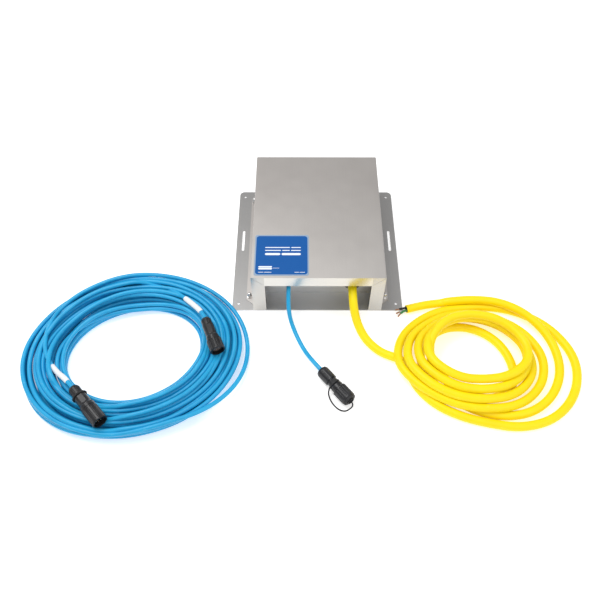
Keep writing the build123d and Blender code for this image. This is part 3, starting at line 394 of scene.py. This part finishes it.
def mains_route():
    """The whole mains cable's control points, from its gland to its cut end."""
    flat = mains_flat()
    last = len(flat) - 1
    stretches = []
    for start, end in MAINS_LAID:
        stretches.append((round(start * MAINS_POINTS), min(round(end * MAINS_POINTS), last)))
    ends = (MAINS_ROUTE[-1][2], MAINS_TAIL_ROUTE[0][2])
    heights = laid_heights(flat, MAINS_THICK, stretches, MAINS_STEEPEST, ends)
    coil = [(x, y, z) for (x, y), z in zip(flat, heights)]
    return MAINS_ROUTE[:-1] + coil + MAINS_TAIL_ROUTE


# ---- cords --------------------------------------------------------------------------------
def lay_cords():
    """The three cables, each one attached to the box."""
    extension = route_curve("extension_cord", extension_route(), BLUE_THICK)
    mains = route_curve("mains_cord", mains_route(), MAINS_THICK)
    pigtail = route_curve("pigtail_cord", PIGTAIL_ROUTE, BLUE_THICK)
    for cord in (extension, mains, pigtail):
        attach(cord, "box")
    return extension, mains, pigtail


set_camera()
extension_cord, mains_cord, pigtail_cord = lay_cords()
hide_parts("extension_coil", "extension_leads")
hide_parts("mains_coil", "mains_cable")
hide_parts("pigtail_cable")


# ---- finishes -----------------------------------------------------------------------------
class Shade:
    """A shader socket that Python arithmetic works on."""

    def __init__(self, tree, socket):
        self.tree = tree
        self.socket = socket

    def math(self, operation, *terms):
        """A Math node on this value and the terms."""
        node = self.tree.nodes.new("ShaderNodeMath")
        node.operation = operation
        for socket, term in zip(node.inputs, terms):
            feed(self.tree, socket, term)
        return Shade(self.tree, node.outputs[0])

    def __add__(self, other):
        return self.math("ADD", self, other)

    def __radd__(self, other):
        return self.math("ADD", other, self)

    def __sub__(self, other):
        return self.math("SUBTRACT", self, other)

    def __rsub__(self, other):
        return self.math("SUBTRACT", other, self)

    def __mul__(self, other):
        return self.math("MULTIPLY", self, other)

    def __rmul__(self, other):
        return self.math("MULTIPLY", other, self)

    def __gt__(self, other):
        return self.math("GREATER_THAN", self, other)

    def __lt__(self, other):
        return self.math("LESS_THAN", self, other)

    def size(self):
        """The value without its sign."""
        return self.math("ABSOLUTE", self)


def feed(tree, socket, value):
    """Links a shade to a socket, or sets the socket's own value."""
    if isinstance(value, Shade):
        tree.links.new(value.socket, socket)
    elif isinstance(value, tuple) and len(value) == 3 and len(getattr(socket, "default_value", ())) == 4:
        socket.default_value = (*value, 1.0)
    else:
        socket.default_value = value


class Finish:
    """One procedural finish: a Principled shader and the nodes that vary it over the surface."""

    def __init__(self, name, **fixed):
        self.material = bpy.data.materials.new(name)
        self.material.use_nodes = True
        self.tree = self.material.node_tree
        self.shader = self.tree.nodes["Principled BSDF"]
        for socket, value in fixed.items():
            self.set(socket.replace("_", " "), value)
        self.place = self.add("ShaderNodeTexCoord", output="Object")
        self.x, self.y, self.z = (self.add("ShaderNodeSeparateXYZ", {}, {"Vector": self.place}, axis)
                                  for axis in ("X", "Y", "Z"))

    def add(self, kind, settings=None, sockets=None, output=0):
        """One node of any kind: its settings first, then the values or links of its sockets."""
        node = self.tree.nodes.new(kind)
        for setting, value in (settings or {}).items():
            if setting == "stops":
                for position, colour in value[2:]:
                    node.color_ramp.elements.new(position)
                for element, (position, colour) in zip(node.color_ramp.elements, sorted(value)):
                    element.position = position
                    element.color = (*colour, 1.0)
            else:
                setattr(node, setting, value)
        for key, value in (sockets or {}).items():
            socket = next(socket for socket in node.inputs if key in (socket.identifier, socket.name))
            feed(self.tree, socket, value)
        if isinstance(output, str):
            made = next(socket for socket in node.outputs if output in (socket.identifier, socket.name))
        else:
            made = node.outputs[output]
        return Shade(self.tree, made)

    def set(self, socket, value):
        """Gives one of the shader's sockets a value or a link."""
        feed(self.tree, self.shader.inputs[socket], value)

    def noise(self, scale, detail=2.0, stretch=(1.0, 1.0, 1.0), roughness=0.5):
        """Noise from 0 to 1, drawn out along the axes where stretch is below 1."""
        mapped = self.add("ShaderNodeMapping", sockets={"Vector": self.place, "Scale": stretch})
        return self.add("ShaderNodeTexNoise", sockets={"Vector": mapped, "Scale": scale, "Detail": detail,
                                                       "Roughness": roughness})

    def blend(self, factor, first, second):
        """A colour between two colours."""
        return self.add("ShaderNodeMix", {"data_type": "RGBA"},
                        {"Factor_Float": factor, "A_Color": first, "B_Color": second}, "Result_Color")

    def bump(self, height, distance, strength=0.5):
        """Raises the surface by a height pattern."""
        self.set("Normal", self.add("ShaderNodeBump", sockets={"Strength": strength, "Distance": distance,
                                                               "Height": height}))

    def smooth_step(self, value, low, high):
        """0 below low, 1 above high, and an eased rise between them."""
        return self.add("ShaderNodeMapRange", {"interpolation_type": "SMOOTHSTEP"},
                        {"Value": value, "From Min": low, "From Max": high})


# Where the look of the box's sheets changes, from the box's middle.
BOX_HALF_LENGTH = 0.145
POLISHED_EDGE = -0.14492
UPRIGHT_INSIDE = 0.0925
UPRIGHT_TONE = 0.80
UNDER_HOOD = 0.1155


def sheet_steel(name, light, dark, rim_light, grain, under_hood_painted_light=None):
    """Brushed stainless sheet: fine grain lines, slow tone changes and a polished front edge.

    The edge's two uprights are a little duller than the rest of it, and the part of a sheet that
    the hood covers can take a paler colour, painted light that lifts the shade under the hood.
    """
    steel = Finish(name, Metallic=1.0)
    lines = steel.noise(1.0, 3.0, grain, 0.65)
    clouds = steel.noise(9.0, 3.0)
    smears = steel.noise(38.0, 4.0)
    tone = 0.6 * clouds + 0.4 * steel.smooth_step(steel.y, BOX_HALF_LENGTH, -BOX_HALF_LENGTH)
    brushed = steel.blend(tone, dark, light)
    brushed = steel.blend(0.10 * lines, brushed, (0.16, 0.15, 0.145))
    # Painted light: under the hood the sheet takes a paler colour that lifts the shade there.
    if under_hood_painted_light:
        brushed = steel.blend(steel.x.size() < UNDER_HOOD, brushed, under_hood_painted_light)
    polished = steel.y < POLISHED_EDGE
    upright = steel.x.size() > UPRIGHT_INSIDE
    edge = steel.blend(upright, rim_light, tuple(UPRIGHT_TONE * part for part in rim_light))
    steel.set("Base Color", steel.blend(polished, brushed, edge))
    brushed_rough = 0.40 + 0.10 * smears + 0.06 * lines
    edge_rough = 0.17 + 0.06 * smears
    steel.set("Roughness", (1 - polished) * brushed_rough + polished * edge_rough)
    steel.bump((1 - polished) * lines + polished * 0.3 * smears, 0.00012, 0.35)
    return steel.material


def plated_metal(name, colour, worn, rough, wear_scale=120.0):
    """Small plated hardware, duller where it has been handled."""
    metal = Finish(name, Metallic=1.0)
    handled = metal.smooth_step(metal.noise(wear_scale, 4.0), 0.45, 0.75)
    metal.set("Base Color", metal.blend(handled, colour, worn))
    metal.set("Roughness", rough + 0.22 * handled)
    metal.bump(metal.noise(900.0, 2.0), 0.00006, 0.3)
    return metal.material


def moulded_plastic(name, colour, faded, rough, grain=1500.0, lift=0.00008):
    """Moulded plastic with a fine spark-eroded grain and slightly paler, rubbed places."""
    plastic = Finish(name, Specular_IOR_Level=0.45)
    rubbed = plastic.smooth_step(plastic.noise(70.0, 4.0), 0.40, 0.80)
    plastic.set("Base Color", plastic.blend(rubbed, colour, faded))
    plastic.set("Roughness", rough + 0.12 * rubbed)
    plastic.bump(plastic.noise(grain, 2.0), lift, 0.45)
    return plastic.material


def cable_jacket(name, colour, deep, dusty, rough):
    """An extruded cable jacket: soft sheen, slow colour drift, fine drag lines and a little dust."""
    jacket = Finish(name, Specular_IOR_Level=0.35)
    drift = jacket.noise(26.0, 2.0)
    drag = jacket.noise(620.0, 3.0)
    dust = jacket.smooth_step(jacket.noise(150.0, 4.0), 0.58, 0.85)
    body = jacket.blend(drift, deep, colour)
    jacket.set("Base Color", jacket.blend(0.22 * dust, body, dusty))
    jacket.set("Roughness", rough + 0.10 * drag + 0.12 * dust)
    jacket.bump(drag + 0.5 * jacket.noise(210.0, 2.0), 0.00010, 0.30)
    return jacket.material


def label_sheet():
    """A printed blue label with a pale border, and a faint orange-peel gloss."""
    low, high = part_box("label_plate")
    middle = (low + high) / 2
    half = (high - low) / 2
    corner = 0.0055
    border = 0.0023
    blur = 0.0002
    label = Finish("label_print_ground", Specular_IOR_Level=0.25)
    inside_x = (label.x - middle.x).size() - (half.x - border - corner)
    inside_y = (label.y - middle.y).size() - (half.y - border - corner)
    past_x = inside_x.math("MAXIMUM", inside_x, 0.0)
    past_y = inside_y.math("MAXIMUM", inside_y, 0.0)
    squared = past_x * past_x + past_y * past_y
    past = squared.math("SQRT", squared)
    edge = label.smooth_step(past, corner - blur, corner + blur)
    peel = label.noise(420.0, 3.0)
    ground = label.blend(peel, (0.002, 0.084, 0.320), (0.004, 0.100, 0.370))
    label.set("Base Color", label.blend(edge, ground, (0.27, 0.37, 0.50)))
    label.set("Roughness", 0.34 + 0.12 * peel)
    label.bump(peel, 0.00005, 0.3)
    return label.material


def print_white():
    """White screen print, slightly uneven."""
    ink = Finish("label_ink", Specular_IOR_Level=0.3)
    uneven = ink.noise(700.0, 3.0)
    ink.set("Base Color", ink.blend(uneven, (0.80, 0.86, 0.93), (0.90, 0.94, 0.98)))
    ink.set("Roughness", 0.45 + 0.15 * uneven)
    ink.bump(uneven, 0.00002, 0.3)
    return ink.material


def sleeve_white():
    """White shrink sleeve, a little grubby, with the faint ring marks that shrinking leaves."""
    sleeve = Finish("sleeve_white", Specular_IOR_Level=0.4)
    grime = sleeve.smooth_step(sleeve.noise(140.0, 4.0), 0.5, 0.9)
    rings = sleeve.noise(420.0, 2.0)
    sleeve.set("Base Color", sleeve.blend(0.4 * grime, (0.86, 0.87, 0.88), (0.60, 0.62, 0.64)))
    sleeve.set("Roughness", 0.42 + 0.16 * rings)
    sleeve.bump(rings, 0.00012, 0.4)
    return sleeve.material


def copper_strands():
    """Dull copper strands, darker in between."""
    copper = Finish("copper_strands", Metallic=1.0)
    dull = copper.noise(260.0, 4.0)
    copper.set("Base Color", copper.blend(dull, (0.62, 0.34, 0.22), (0.30, 0.17, 0.11)))
    copper.set("Roughness", 0.30 + 0.25 * dull)
    copper.bump(copper.noise(1800.0, 2.0), 0.00008, 0.5)
    return copper.material


def circuit_board():
    """Green solder resist with broad copper areas under it and a scatter of pads."""
    board = Finish("solder_resist", Specular_IOR_Level=0.5)
    cells = board.add("ShaderNodeTexVoronoi", {"feature": "DISTANCE_TO_EDGE"},
                      {"Vector": board.place, "Scale": 90.0}, "Distance")
    tracks = cells < 0.06
    pads = board.add("ShaderNodeTexVoronoi", {}, {"Vector": board.place, "Scale": 160.0}, "Distance") < 0.16
    green = board.blend(tracks, (0.012, 0.14, 0.05), (0.02, 0.24, 0.09))
    board.set("Base Color", board.blend(pads, green, (0.62, 0.62, 0.60)))
    board.set("Metallic", 0.9 * pads)
    board.set("Roughness", 0.38 - 0.12 * pads)
    board.bump(tracks + pads, 0.00004, 0.5)
    return board.material


def board_parts():
    """Resistor and capacitor bodies: a speckled body colour with paler bands across it."""
    above_resistors = 0.022
    part = Finish("component_bodies", Specular_IOR_Level=0.4)
    bands = part.add("ShaderNodeTexWave", {"bands_direction": "X"}, {"Vector": part.place, "Scale": 55.0})
    tall = part.z > above_resistors
    speck = part.noise(600.0, 3.0)
    body = part.blend(bands > 0.86, (0.52, 0.40, 0.24), (0.18, 0.04, 0.03))
    part.set("Base Color", part.blend(tall, body, (0.03, 0.035, 0.10)))
    part.set("Roughness", 0.36 + 0.2 * speck)
    part.bump(speck, 0.00005, 0.4)
    return part.material


def core_laminations():
    """A transformer core's stacked, varnished laminations."""
    core = Finish("core_laminations", Metallic=0.7)
    stack = core.add("ShaderNodeTexWave", {"bands_direction": "Y"}, {"Vector": core.place, "Scale": 320.0})
    rust = core.smooth_step(core.noise(160.0, 4.0), 0.55, 0.85)
    core.set("Base Color", core.blend(rust, (0.10, 0.10, 0.11), (0.20, 0.12, 0.08)))
    core.set("Roughness", 0.42 + 0.18 * stack)
    core.bump(stack, 0.00012, 0.6)
    return core.material


def winding_tape():
    """Yellow polyester tape in overlapping wraps."""
    tape = Finish("winding_tape", Specular_IOR_Level=0.55)
    wraps = tape.add("ShaderNodeTexWave", {"bands_direction": "Z", "wave_profile": "SAW"},
                     {"Vector": tape.place, "Scale": 70.0})
    tape.set("Base Color", tape.blend(wraps, (0.72, 0.48, 0.08), (0.84, 0.62, 0.16)))
    tape.set("Roughness", 0.26 + 0.14 * wraps)
    tape.bump(wraps, 0.0001, 0.4)
    return tape.material


def fuse_glass():
    """A glass fuse: clear glass in the middle and nickel caps at both ends."""
    low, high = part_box("fuse")
    middle = (low.x + high.x) / 2
    clear_half = 0.0052
    glass = Finish("fuse_glass", Metallic=0.0, IOR=1.47, Transmission_Weight=0.85)
    streak = glass.noise(300.0, 3.0)
    glass.set("Base Color", glass.blend(streak, (0.86, 0.92, 0.90), (0.95, 0.97, 0.96)))
    glass.set("Roughness", 0.04 + 0.06 * streak)
    cap = glass.add("ShaderNodeBsdfPrincipled", {},
                    {"Base Color": glass.blend(streak, (0.70, 0.69, 0.66), (0.50, 0.49, 0.46)),
                     "Metallic": 1.0, "Roughness": 0.25 + 0.15 * streak})
    at_cap = (glass.x - middle).size() > clear_half
    clear = Shade(glass.tree, glass.shader.outputs[0])
    mixed = glass.add("ShaderNodeMixShader", {}, {"Fac": at_cap, "Shader": clear, "Shader_001": cap})
    feed(glass.tree, glass.tree.nodes["Material Output"].inputs["Surface"], mixed)
    return glass.material


def insert_face(name, colour, rim_colour):
    """The dark insulating disc of a connector, glossier than its shell."""
    disc = Finish(name, Specular_IOR_Level=0.5)
    speck = disc.noise(800.0, 3.0)
    disc.set("Base Color", disc.blend(speck, colour, rim_colour))
    disc.set("Roughness", 0.30 + 0.15 * speck)
    disc.bump(speck, 0.00004, 0.3)
    return disc.material


FINISHES = {
    "cover_steel": sheet_steel("cover_steel", (0.62, 0.595, 0.57), (0.50, 0.47, 0.45), (0.62, 0.60, 0.565),
                               (900.0, 14.0, 900.0)),
    # The plate's pale colour under the hood is painted light that lifts the shade in the recess.
    "plate_steel": sheet_steel("plate_steel", (0.46, 0.455, 0.45), (0.38, 0.375, 0.37), (0.56, 0.55, 0.54),
                               (900.0, 14.0, 900.0), under_hood_painted_light=(0.80, 0.80, 0.80)),
    # The bulkhead's steel is paler than the cover's: painted light that lifts the shade in the recess.
    "panel_steel": sheet_steel("panel_steel", (0.74, 0.74, 0.74), (0.64, 0.64, 0.64), (0.70, 0.69, 0.68),
                               (14.0, 900.0, 900.0)),
    "bright_nuts": plated_metal("bright_nuts", (0.72, 0.71, 0.70), (0.50, 0.49, 0.48), 0.12),
    "zinc": plated_metal("zinc", (0.55, 0.56, 0.55), (0.42, 0.43, 0.40), 0.32, 60.0),
    "brass": plated_metal("brass", (0.95, 0.80, 0.52), (0.80, 0.64, 0.36), 0.30),
    "black_plastic": moulded_plastic("black_plastic", (0.010, 0.010, 0.012), (0.024, 0.024, 0.027),
                                     0.30),
    "gland_plastic": moulded_plastic("gland_plastic", (0.014, 0.014, 0.016), (0.030, 0.030, 0.032),
                                     0.50),
    # The insert's brown is made paler: painted light, so the disc shows in the shade inside the coupling
    # ring.
    "insert_plastic": insert_face("insert_plastic", (0.11, 0.075, 0.058), (0.17, 0.12, 0.10)),
    "grey_plastic": moulded_plastic("grey_plastic", (0.16, 0.17, 0.18), (0.24, 0.25, 0.26), 0.45),
    "black_rubber": moulded_plastic("black_rubber", (0.014, 0.014, 0.015), (0.036, 0.036, 0.038), 0.62, 700.0,
                                    0.00012),
    "blue_jacket": cable_jacket("blue_jacket", (0.028, 0.46, 0.80), (0.006, 0.29, 0.58),
                                (0.34, 0.66, 0.82), 0.26),
    "yellow_jacket": cable_jacket("yellow_jacket", (1.0, 0.83, 0.002), (0.98, 0.71, 0.001),
                                  (0.95, 0.86, 0.20), 0.42),
    "core_black": cable_jacket("core_black", (0.016, 0.016, 0.018), (0.010, 0.010, 0.012),
                               (0.12, 0.12, 0.12), 0.40),
    "core_white": cable_jacket("core_white", (0.80, 0.80, 0.78), (0.68, 0.68, 0.66),
                               (0.50, 0.50, 0.48), 0.40),
    "core_green": cable_jacket("core_green", (0.06, 0.26, 0.08), (0.04, 0.19, 0.06),
                               (0.30, 0.36, 0.28), 0.40),
    "label": label_sheet(),
    "label_ink": print_white(),
    "sleeve_white": sleeve_white(),
    "copper": copper_strands(),
    "board": circuit_board(),
    "parts": board_parts(),
    "laminations": core_laminations(),
    "tape": winding_tape(),
    "glass": fuse_glass(),
}

NODE_FINISHES = {
    "cover_steel": ("cover",),
    "plate_steel": ("back_plate",),
    "panel_steel": ("bulkhead",),
    "bright_nuts": ("acorn_nuts", "nut_washers", "bulkhead_screws"),
    "zinc": ("plate_studs", "small_screws", "supply_case", "supply_lid", "ground_lug", "ground_nut",
             "board_standoffs", "fuse_holder"),
    "brass": ("pigtail_contacts", "plug_contacts", "socket_contacts"),
    "gland_plastic": ("mains_gland_body", "mains_gland_nut", "pigtail_gland_body", "pigtail_gland_nut",
                      "gland_locknuts"),
    "black_plastic": ("pigtail_back_nut", "pigtail_body", "pigtail_coupling_ring",
                      "plug_back_nut", "plug_body", "plug_coupling_ring",
                      "socket_back_nut", "socket_body", "socket_coupling_ring"),
    "insert_plastic": ("pigtail_insert", "plug_insert", "socket_insert"),
    "black_rubber": ("gland_seals", "plug_seal_ring", "tether_collar", "dust_cap"),
    "grey_plastic": ("supply_terminals", "board_terminals"),
    "core_black": ("live_wire",),
    "core_white": ("neutral_wire",),
    "core_green": ("ground_wire",),
    "blue_jacket": ("link_wires", "pigtail_cores"),
    "label": ("label_plate",),
    "board": ("barrier_board",),
    "parts": ("barrier_parts",),
    "laminations": ("transformer_core",),
    "tape": ("transformer_coil",),
    "glass": ("fuse",),
}


def wear(piece, finish):
    """Gives a piece its finish."""
    piece.data.materials.clear()
    piece.data.materials.append(FINISHES[finish])


def dress_nodes():
    """Every CAD node that stays in sight gets its finish."""
    for finish, names in NODE_FINISHES.items():
        for name in names:
            node = NODES[name]
            while len(node.material_slots) > 1:
                node.data.materials.pop()
            node.material_slots[0].material = FINISHES[finish]


# ---- print on the label -------------------------------------------------------------------
INK_THICK = 0.00008
INK_ROUNDING = 8
TITLE_WIDTH = 0.062
TITLE_SHIFT = 0.002
WORD_GAP = 0.0022
# Each line of the title: its height above the label's near edge, how tall it is and its words' widths.
TITLE = ((0.0600, 0.0018, (0.62, 0.24)), (0.0535, 0.0018, (0.42, 0.20, 0.26)), (0.0440, 0.0046, (0.40, 0.50)))
# Each small bar: left end, near side, right end and far side, from a margin and the near edge.
LEFT_MARGIN = 0.0075
LEFT_BARS = ((0.0, 0.0170, 0.0235, 0.0200), (0.0, 0.0130, 0.0235, 0.0160), (0.0245, 0.0156, 0.0360, 0.0162),
             (0.0, 0.0066, 0.0090, 0.0076), (0.0100, 0.0066, 0.0225, 0.0076))
RIGHT_MARGIN = 0.0070
RIGHT_BARS = ((-0.0175, 0.0066, -0.0100, 0.0075), (-0.0090, 0.0066, 0.0, 0.0075))


def ink_bar(shape, left, near, right, far, floor):
    """One printed bar with round ends, as thin as ink."""
    radius = (far - near) / 2
    middle = (near + far) / 2
    outline = []
    for centre, start in ((right - radius, -90), (left + radius, 90)):
        for step in range(INK_ROUNDING + 1):
            angle = math.radians(start + 180 * step / INK_ROUNDING)
            outline.append((centre + radius * math.cos(angle), middle + radius * math.sin(angle)))
    low = [shape.verts.new((x, y, floor)) for x, y in outline]
    high = [shape.verts.new((x, y, floor + INK_THICK)) for x, y in outline]
    shape.faces.new(high)
    shape.faces.new(low[::-1])
    for index in range(len(outline)):
        after = (index + 1) % len(outline)
        shape.faces.new((low[index], low[after], high[after], high[index]))


def label_print():
    """Plain bars where a label has its lines of words."""
    low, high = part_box("label_plate")
    middle = (low.x + high.x) / 2
    shape = bmesh.new()
    for rise, tall, words in TITLE:
        share = (TITLE_WIDTH - WORD_GAP * (len(words) - 1)) / sum(words)
        left = middle - TITLE_WIDTH / 2 + TITLE_SHIFT
        for word in words:
            ink_bar(shape, left, low.y + rise, left + word * share, low.y + rise + tall, high.z)
            left += word * share + WORD_GAP
    for margin, bars in ((low.x + LEFT_MARGIN, LEFT_BARS), (high.x - RIGHT_MARGIN, RIGHT_BARS)):
        for left, near, right, far in bars:
            ink_bar(shape, margin + left, low.y + near, margin + right, low.y + far, high.z)
    piece = mesh_piece("label_print", shape, smooth=False)
    wear(piece, "label_ink")
    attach(piece, "box")
    return piece


# ---- pieces along the cords ---------------------------------------------------------------
def stretch_of(line, start, end):
    """The part of a line between the points nearest to start and end."""
    first = min(range(len(line)), key=lambda number: (line[number] - Vector(start)).length)
    last = min(range(len(line)), key=lambda number: (line[number] - Vector(end)).length)
    return line[min(first, last):max(first, last) + 1]


def evenly(line, step):
    """The same line with its points a step apart."""
    points = [line[0]]
    for here in line[1:]:
        run = here - points[-1]
        while run.length >= step:
            points.append(points[-1] + run.normalized() * step)
            run = here - points[-1]
    return points


ROUND_SIDES = 28
SLEEVE_STEP = 0.0008
SLEEVE_WALL = 0.0003
SLEEVE_LOOSE = 0.00055
SLEEVE_TIGHT_SHARE = 0.08
# Each ripple along a sleeve: its size, how fast it goes and where it starts.
SLEEVE_RIPPLES = ((0.00008, 41, 0), (0.00006, 97, 1))


def marker_sleeve(name, route, start, end):
    """A white sleeve shrunk onto the cord, tight at its ends and slightly loose between."""
    line = evenly(stretch_of(line_along(route), start, end), SLEEVE_STEP)
    snug = BLUE_THICK / 2 + SLEEVE_WALL
    radii = []
    for index in range(len(line)):
        share = index / (len(line) - 1)
        ease = min(1.0, min(share, 1 - share) / SLEEVE_TIGHT_SHARE)
        ripple = sum(size * math.sin(rate * share + begin) for size, rate, begin in SLEEVE_RIPPLES)
        radii.append(snug + SLEEVE_LOOSE * math.sin(ease * math.pi / 2) + ripple * ease)
    piece = tube_piece(name, line, radii, ROUND_SIDES)
    wear(piece, "sleeve_white")
    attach(piece, "box")
    return piece


CONDUCTOR_INSIDE = 0.006
INSULATED_SHARE = 0.74
STRANDS_INSIDE = 3
STRANDS_ROUND = 6
STRAND_TWIST = 0.13
STRAND_SIDES = 8


def conductor_line(offset, bend, reach):
    """The line of one free conductor, from inside the cable's cut end out to its tip."""
    end = Vector(MAINS_TAIL_ROUTE[-1])
    axis = (end - Vector(MAINS_TAIL_ROUTE[-2])).normalized()
    side = Vector((axis.y, -axis.x, 0))
    start = end + side * offset[0] + Vector((0, 0, offset[1]))
    middle = start + axis * reach * 0.5
    tip = middle + axis * reach * 0.5 + side * bend[0] + Vector((0, 0, bend[1]))
    return line_along([tuple(start - axis * CONDUCTOR_INSIDE), tuple(start), tuple(middle), tuple(tip)])


def copper_ends(name, line, thick):
    """The stripped conductor's strands: six twisted round one in the middle."""
    shape = bmesh.new()
    out = thick * 0.46
    for strand in range(STRANDS_ROUND + 1):
        rings = []
        for index, here in enumerate(line):
            forward = (line[min(index + 1, len(line) - 1)] - line[max(index - 1, 0)]).normalized()
            across = forward.cross(Vector((0, 0, 1))).normalized()
            up = across.cross(forward)
            twist = 2 * math.pi * strand / STRANDS_ROUND + STRAND_TWIST * index
            centre = here
            if strand < STRANDS_ROUND:
                centre = here + (across * math.cos(twist) + up * math.sin(twist)) * out
            rings.append(add_ring(shape, centre, across, up, thick * 0.25, STRAND_SIDES))
        skin_rings(shape, rings)
    return mesh_piece(name, shape)


def free_conductor(name, finish, offset, bend, reach):
    """One insulated conductor and the stripped strands at its tip."""
    line = evenly(conductor_line(offset, bend, reach), 0.0005)
    cut = int(len(line) * INSULATED_SHARE)
    jacket = line[:cut]
    thick = CONDUCTOR_THICK / 2
    radii = [thick] * (len(jacket) - 2) + [thick * 0.96, thick * 0.86]
    insulation = tube_piece(name, jacket, radii, 18)
    wear(insulation, finish)
    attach(insulation, "box")
    copper = copper_ends(name + "_strands", line[cut - STRANDS_INSIDE:], thick)
    wear(copper, "copper")
    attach(copper, "box")
    return [insulation, copper]


# The filler's rings, past the cable's cut end: how far along, and the radius.
FILLER_RINGS = ((-0.003, 0.0056), (-0.001, 0.0056), (0.0004, 0.0056), (0.0008, 0.0050))


def cable_filler():
    """The dark filler in the mains cable's cut end, sunk just inside the jacket."""
    end = Vector(MAINS_TAIL_ROUTE[-1])
    axis = (end - Vector(MAINS_TAIL_ROUTE[-2])).normalized()
    line = [end + axis * along for along, radius in FILLER_RINGS]
    filler = tube_piece("cable_filler", line, [radius for along, radius in FILLER_RINGS], ROUND_SIDES)
    wear(filler, "black_rubber")
    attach(filler, "box")
    return filler


# The tether's line in millimetres: along the connector's axis, out to its side, and up.
TETHER_STEPS = ((34.5, 10.2, 0), (36.5, 16.2, -5), (46.5, 20.5, -10.6), (58.5, 22.3, -11.9),
                (70.5, 21.2, -11.8), (80.25, 15.7, -9.5), (82.75, 8, -5), (83.05, 3.5, -2),
                (79.95, 0, 0), (75.75, 0, 0))


def tether_route():
    """The cap's tether, from its collar round on the floor side to the cap's hub."""
    side = Vector((PIGTAIL.axis.y, -PIGTAIL.axis.x, 0))
    return [tuple(PIGTAIL.back + (PIGTAIL.axis * along + side * away + Vector((0, 0, lift))) / 1000)
            for along, away, lift in TETHER_STEPS]


def cap_tether():
    """The rubber strap that holds the cap, drawn out with it when the cap comes off."""
    line = evenly(line_along(tether_route()), 0.0006)
    tether = tube_piece("tether", line, [TETHER_THICK / 2] * len(line), 14)
    wear(tether, "black_rubber")
    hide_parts("cap_tether")
    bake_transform(tether)
    return tether


FLOOR_LEVEL = -0.0006
FLOOR_REACH = 9
# Each lamp's name, place, aim, size and power.
LAMPS = (("key", (-0.7, 0.1, 1.8), (-0.05, -0.1, 0.0), 1.1, 20.0),
         ("fill", (0.9, -0.9, 1.3), (0.05, -0.1, 0.0), 1.2, 6.0))


def floor_and_light():
    """A plain white floor, two big soft lights above it and a pale room."""
    ground = Finish("studio_floor", Specular_IOR_Level=0.1)
    paper = ground.noise(4.0)
    ground.set("Base Color", ground.blend(paper, (0.90, 0.90, 0.90), (0.93, 0.93, 0.93)))
    ground.set("Roughness", 0.85 + 0.1 * paper)
    ground.set("Emission Color", (1.0, 1.0, 1.0))
    ground.set("Emission Strength", 0.42)
    shape = bmesh.new()
    corners = ((-1, -1), (1, -1), (1, 1), (-1, 1))
    shape.faces.new([shape.verts.new((x * FLOOR_REACH, y * FLOOR_REACH, FLOOR_LEVEL)) for x, y in corners])
    mesh = bpy.data.meshes.new("studio_floor")
    shape.to_mesh(mesh)
    shape.free()
    mesh.materials.append(ground.material)
    link_object("studio_floor", mesh)
    world = bpy.data.worlds.new("studio")
    world.use_nodes = True
    SCENE.world = world
    room = world.node_tree.nodes["Background"]
    room.inputs["Color"].default_value = (1.0, 1.0, 1.0, 1.0)
    room.inputs["Strength"].default_value = 0.60
    for name, place, aim, size, power in LAMPS:
        data = bpy.data.lights.new(name, "AREA")
        data.energy = power
        data.size = size
        lamp = link_object(name, data)
        lamp.location = place
        lamp.rotation_euler = (Vector(aim) - Vector(place)).to_track_quat("-Z", "Y").to_euler()
    SCENE.view_settings.view_transform = "Standard"


dress_nodes()
wear(extension_cord, "blue_jacket")
wear(mains_cord, "yellow_jacket")
wear(pigtail_cord, "blue_jacket")
label_print()
plug_sleeve = marker_sleeve("plug_sleeve", PLUG_ROUTE, (-0.443, -0.277, 0.0285), (-0.411, -0.309, 0.034))
socket_sleeve = marker_sleeve("socket_sleeve", SOCKET_ROUTE, (-0.235, -0.1421, 0.028),
                              (-0.2088, -0.1757, 0.033))
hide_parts("marker_sleeves")
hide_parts("marker_sleeves")
live_end = free_conductor("live_end", "core_black", (0.0026, 0.0016), (0.001, -0.0005), 0.020)
neutral_end = free_conductor("neutral_end", "core_white", (0.0002, -0.0029), (-0.0015, -0.0004), 0.020)
ground_end = free_conductor("ground_end", "core_green", (-0.0028, 0.0006), (-0.007, -0.0025), 0.020)
filler = cable_filler()
for piece in live_end + neutral_end + ground_end:
    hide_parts("free_conductors")
cap_tether()

floor_and_light()
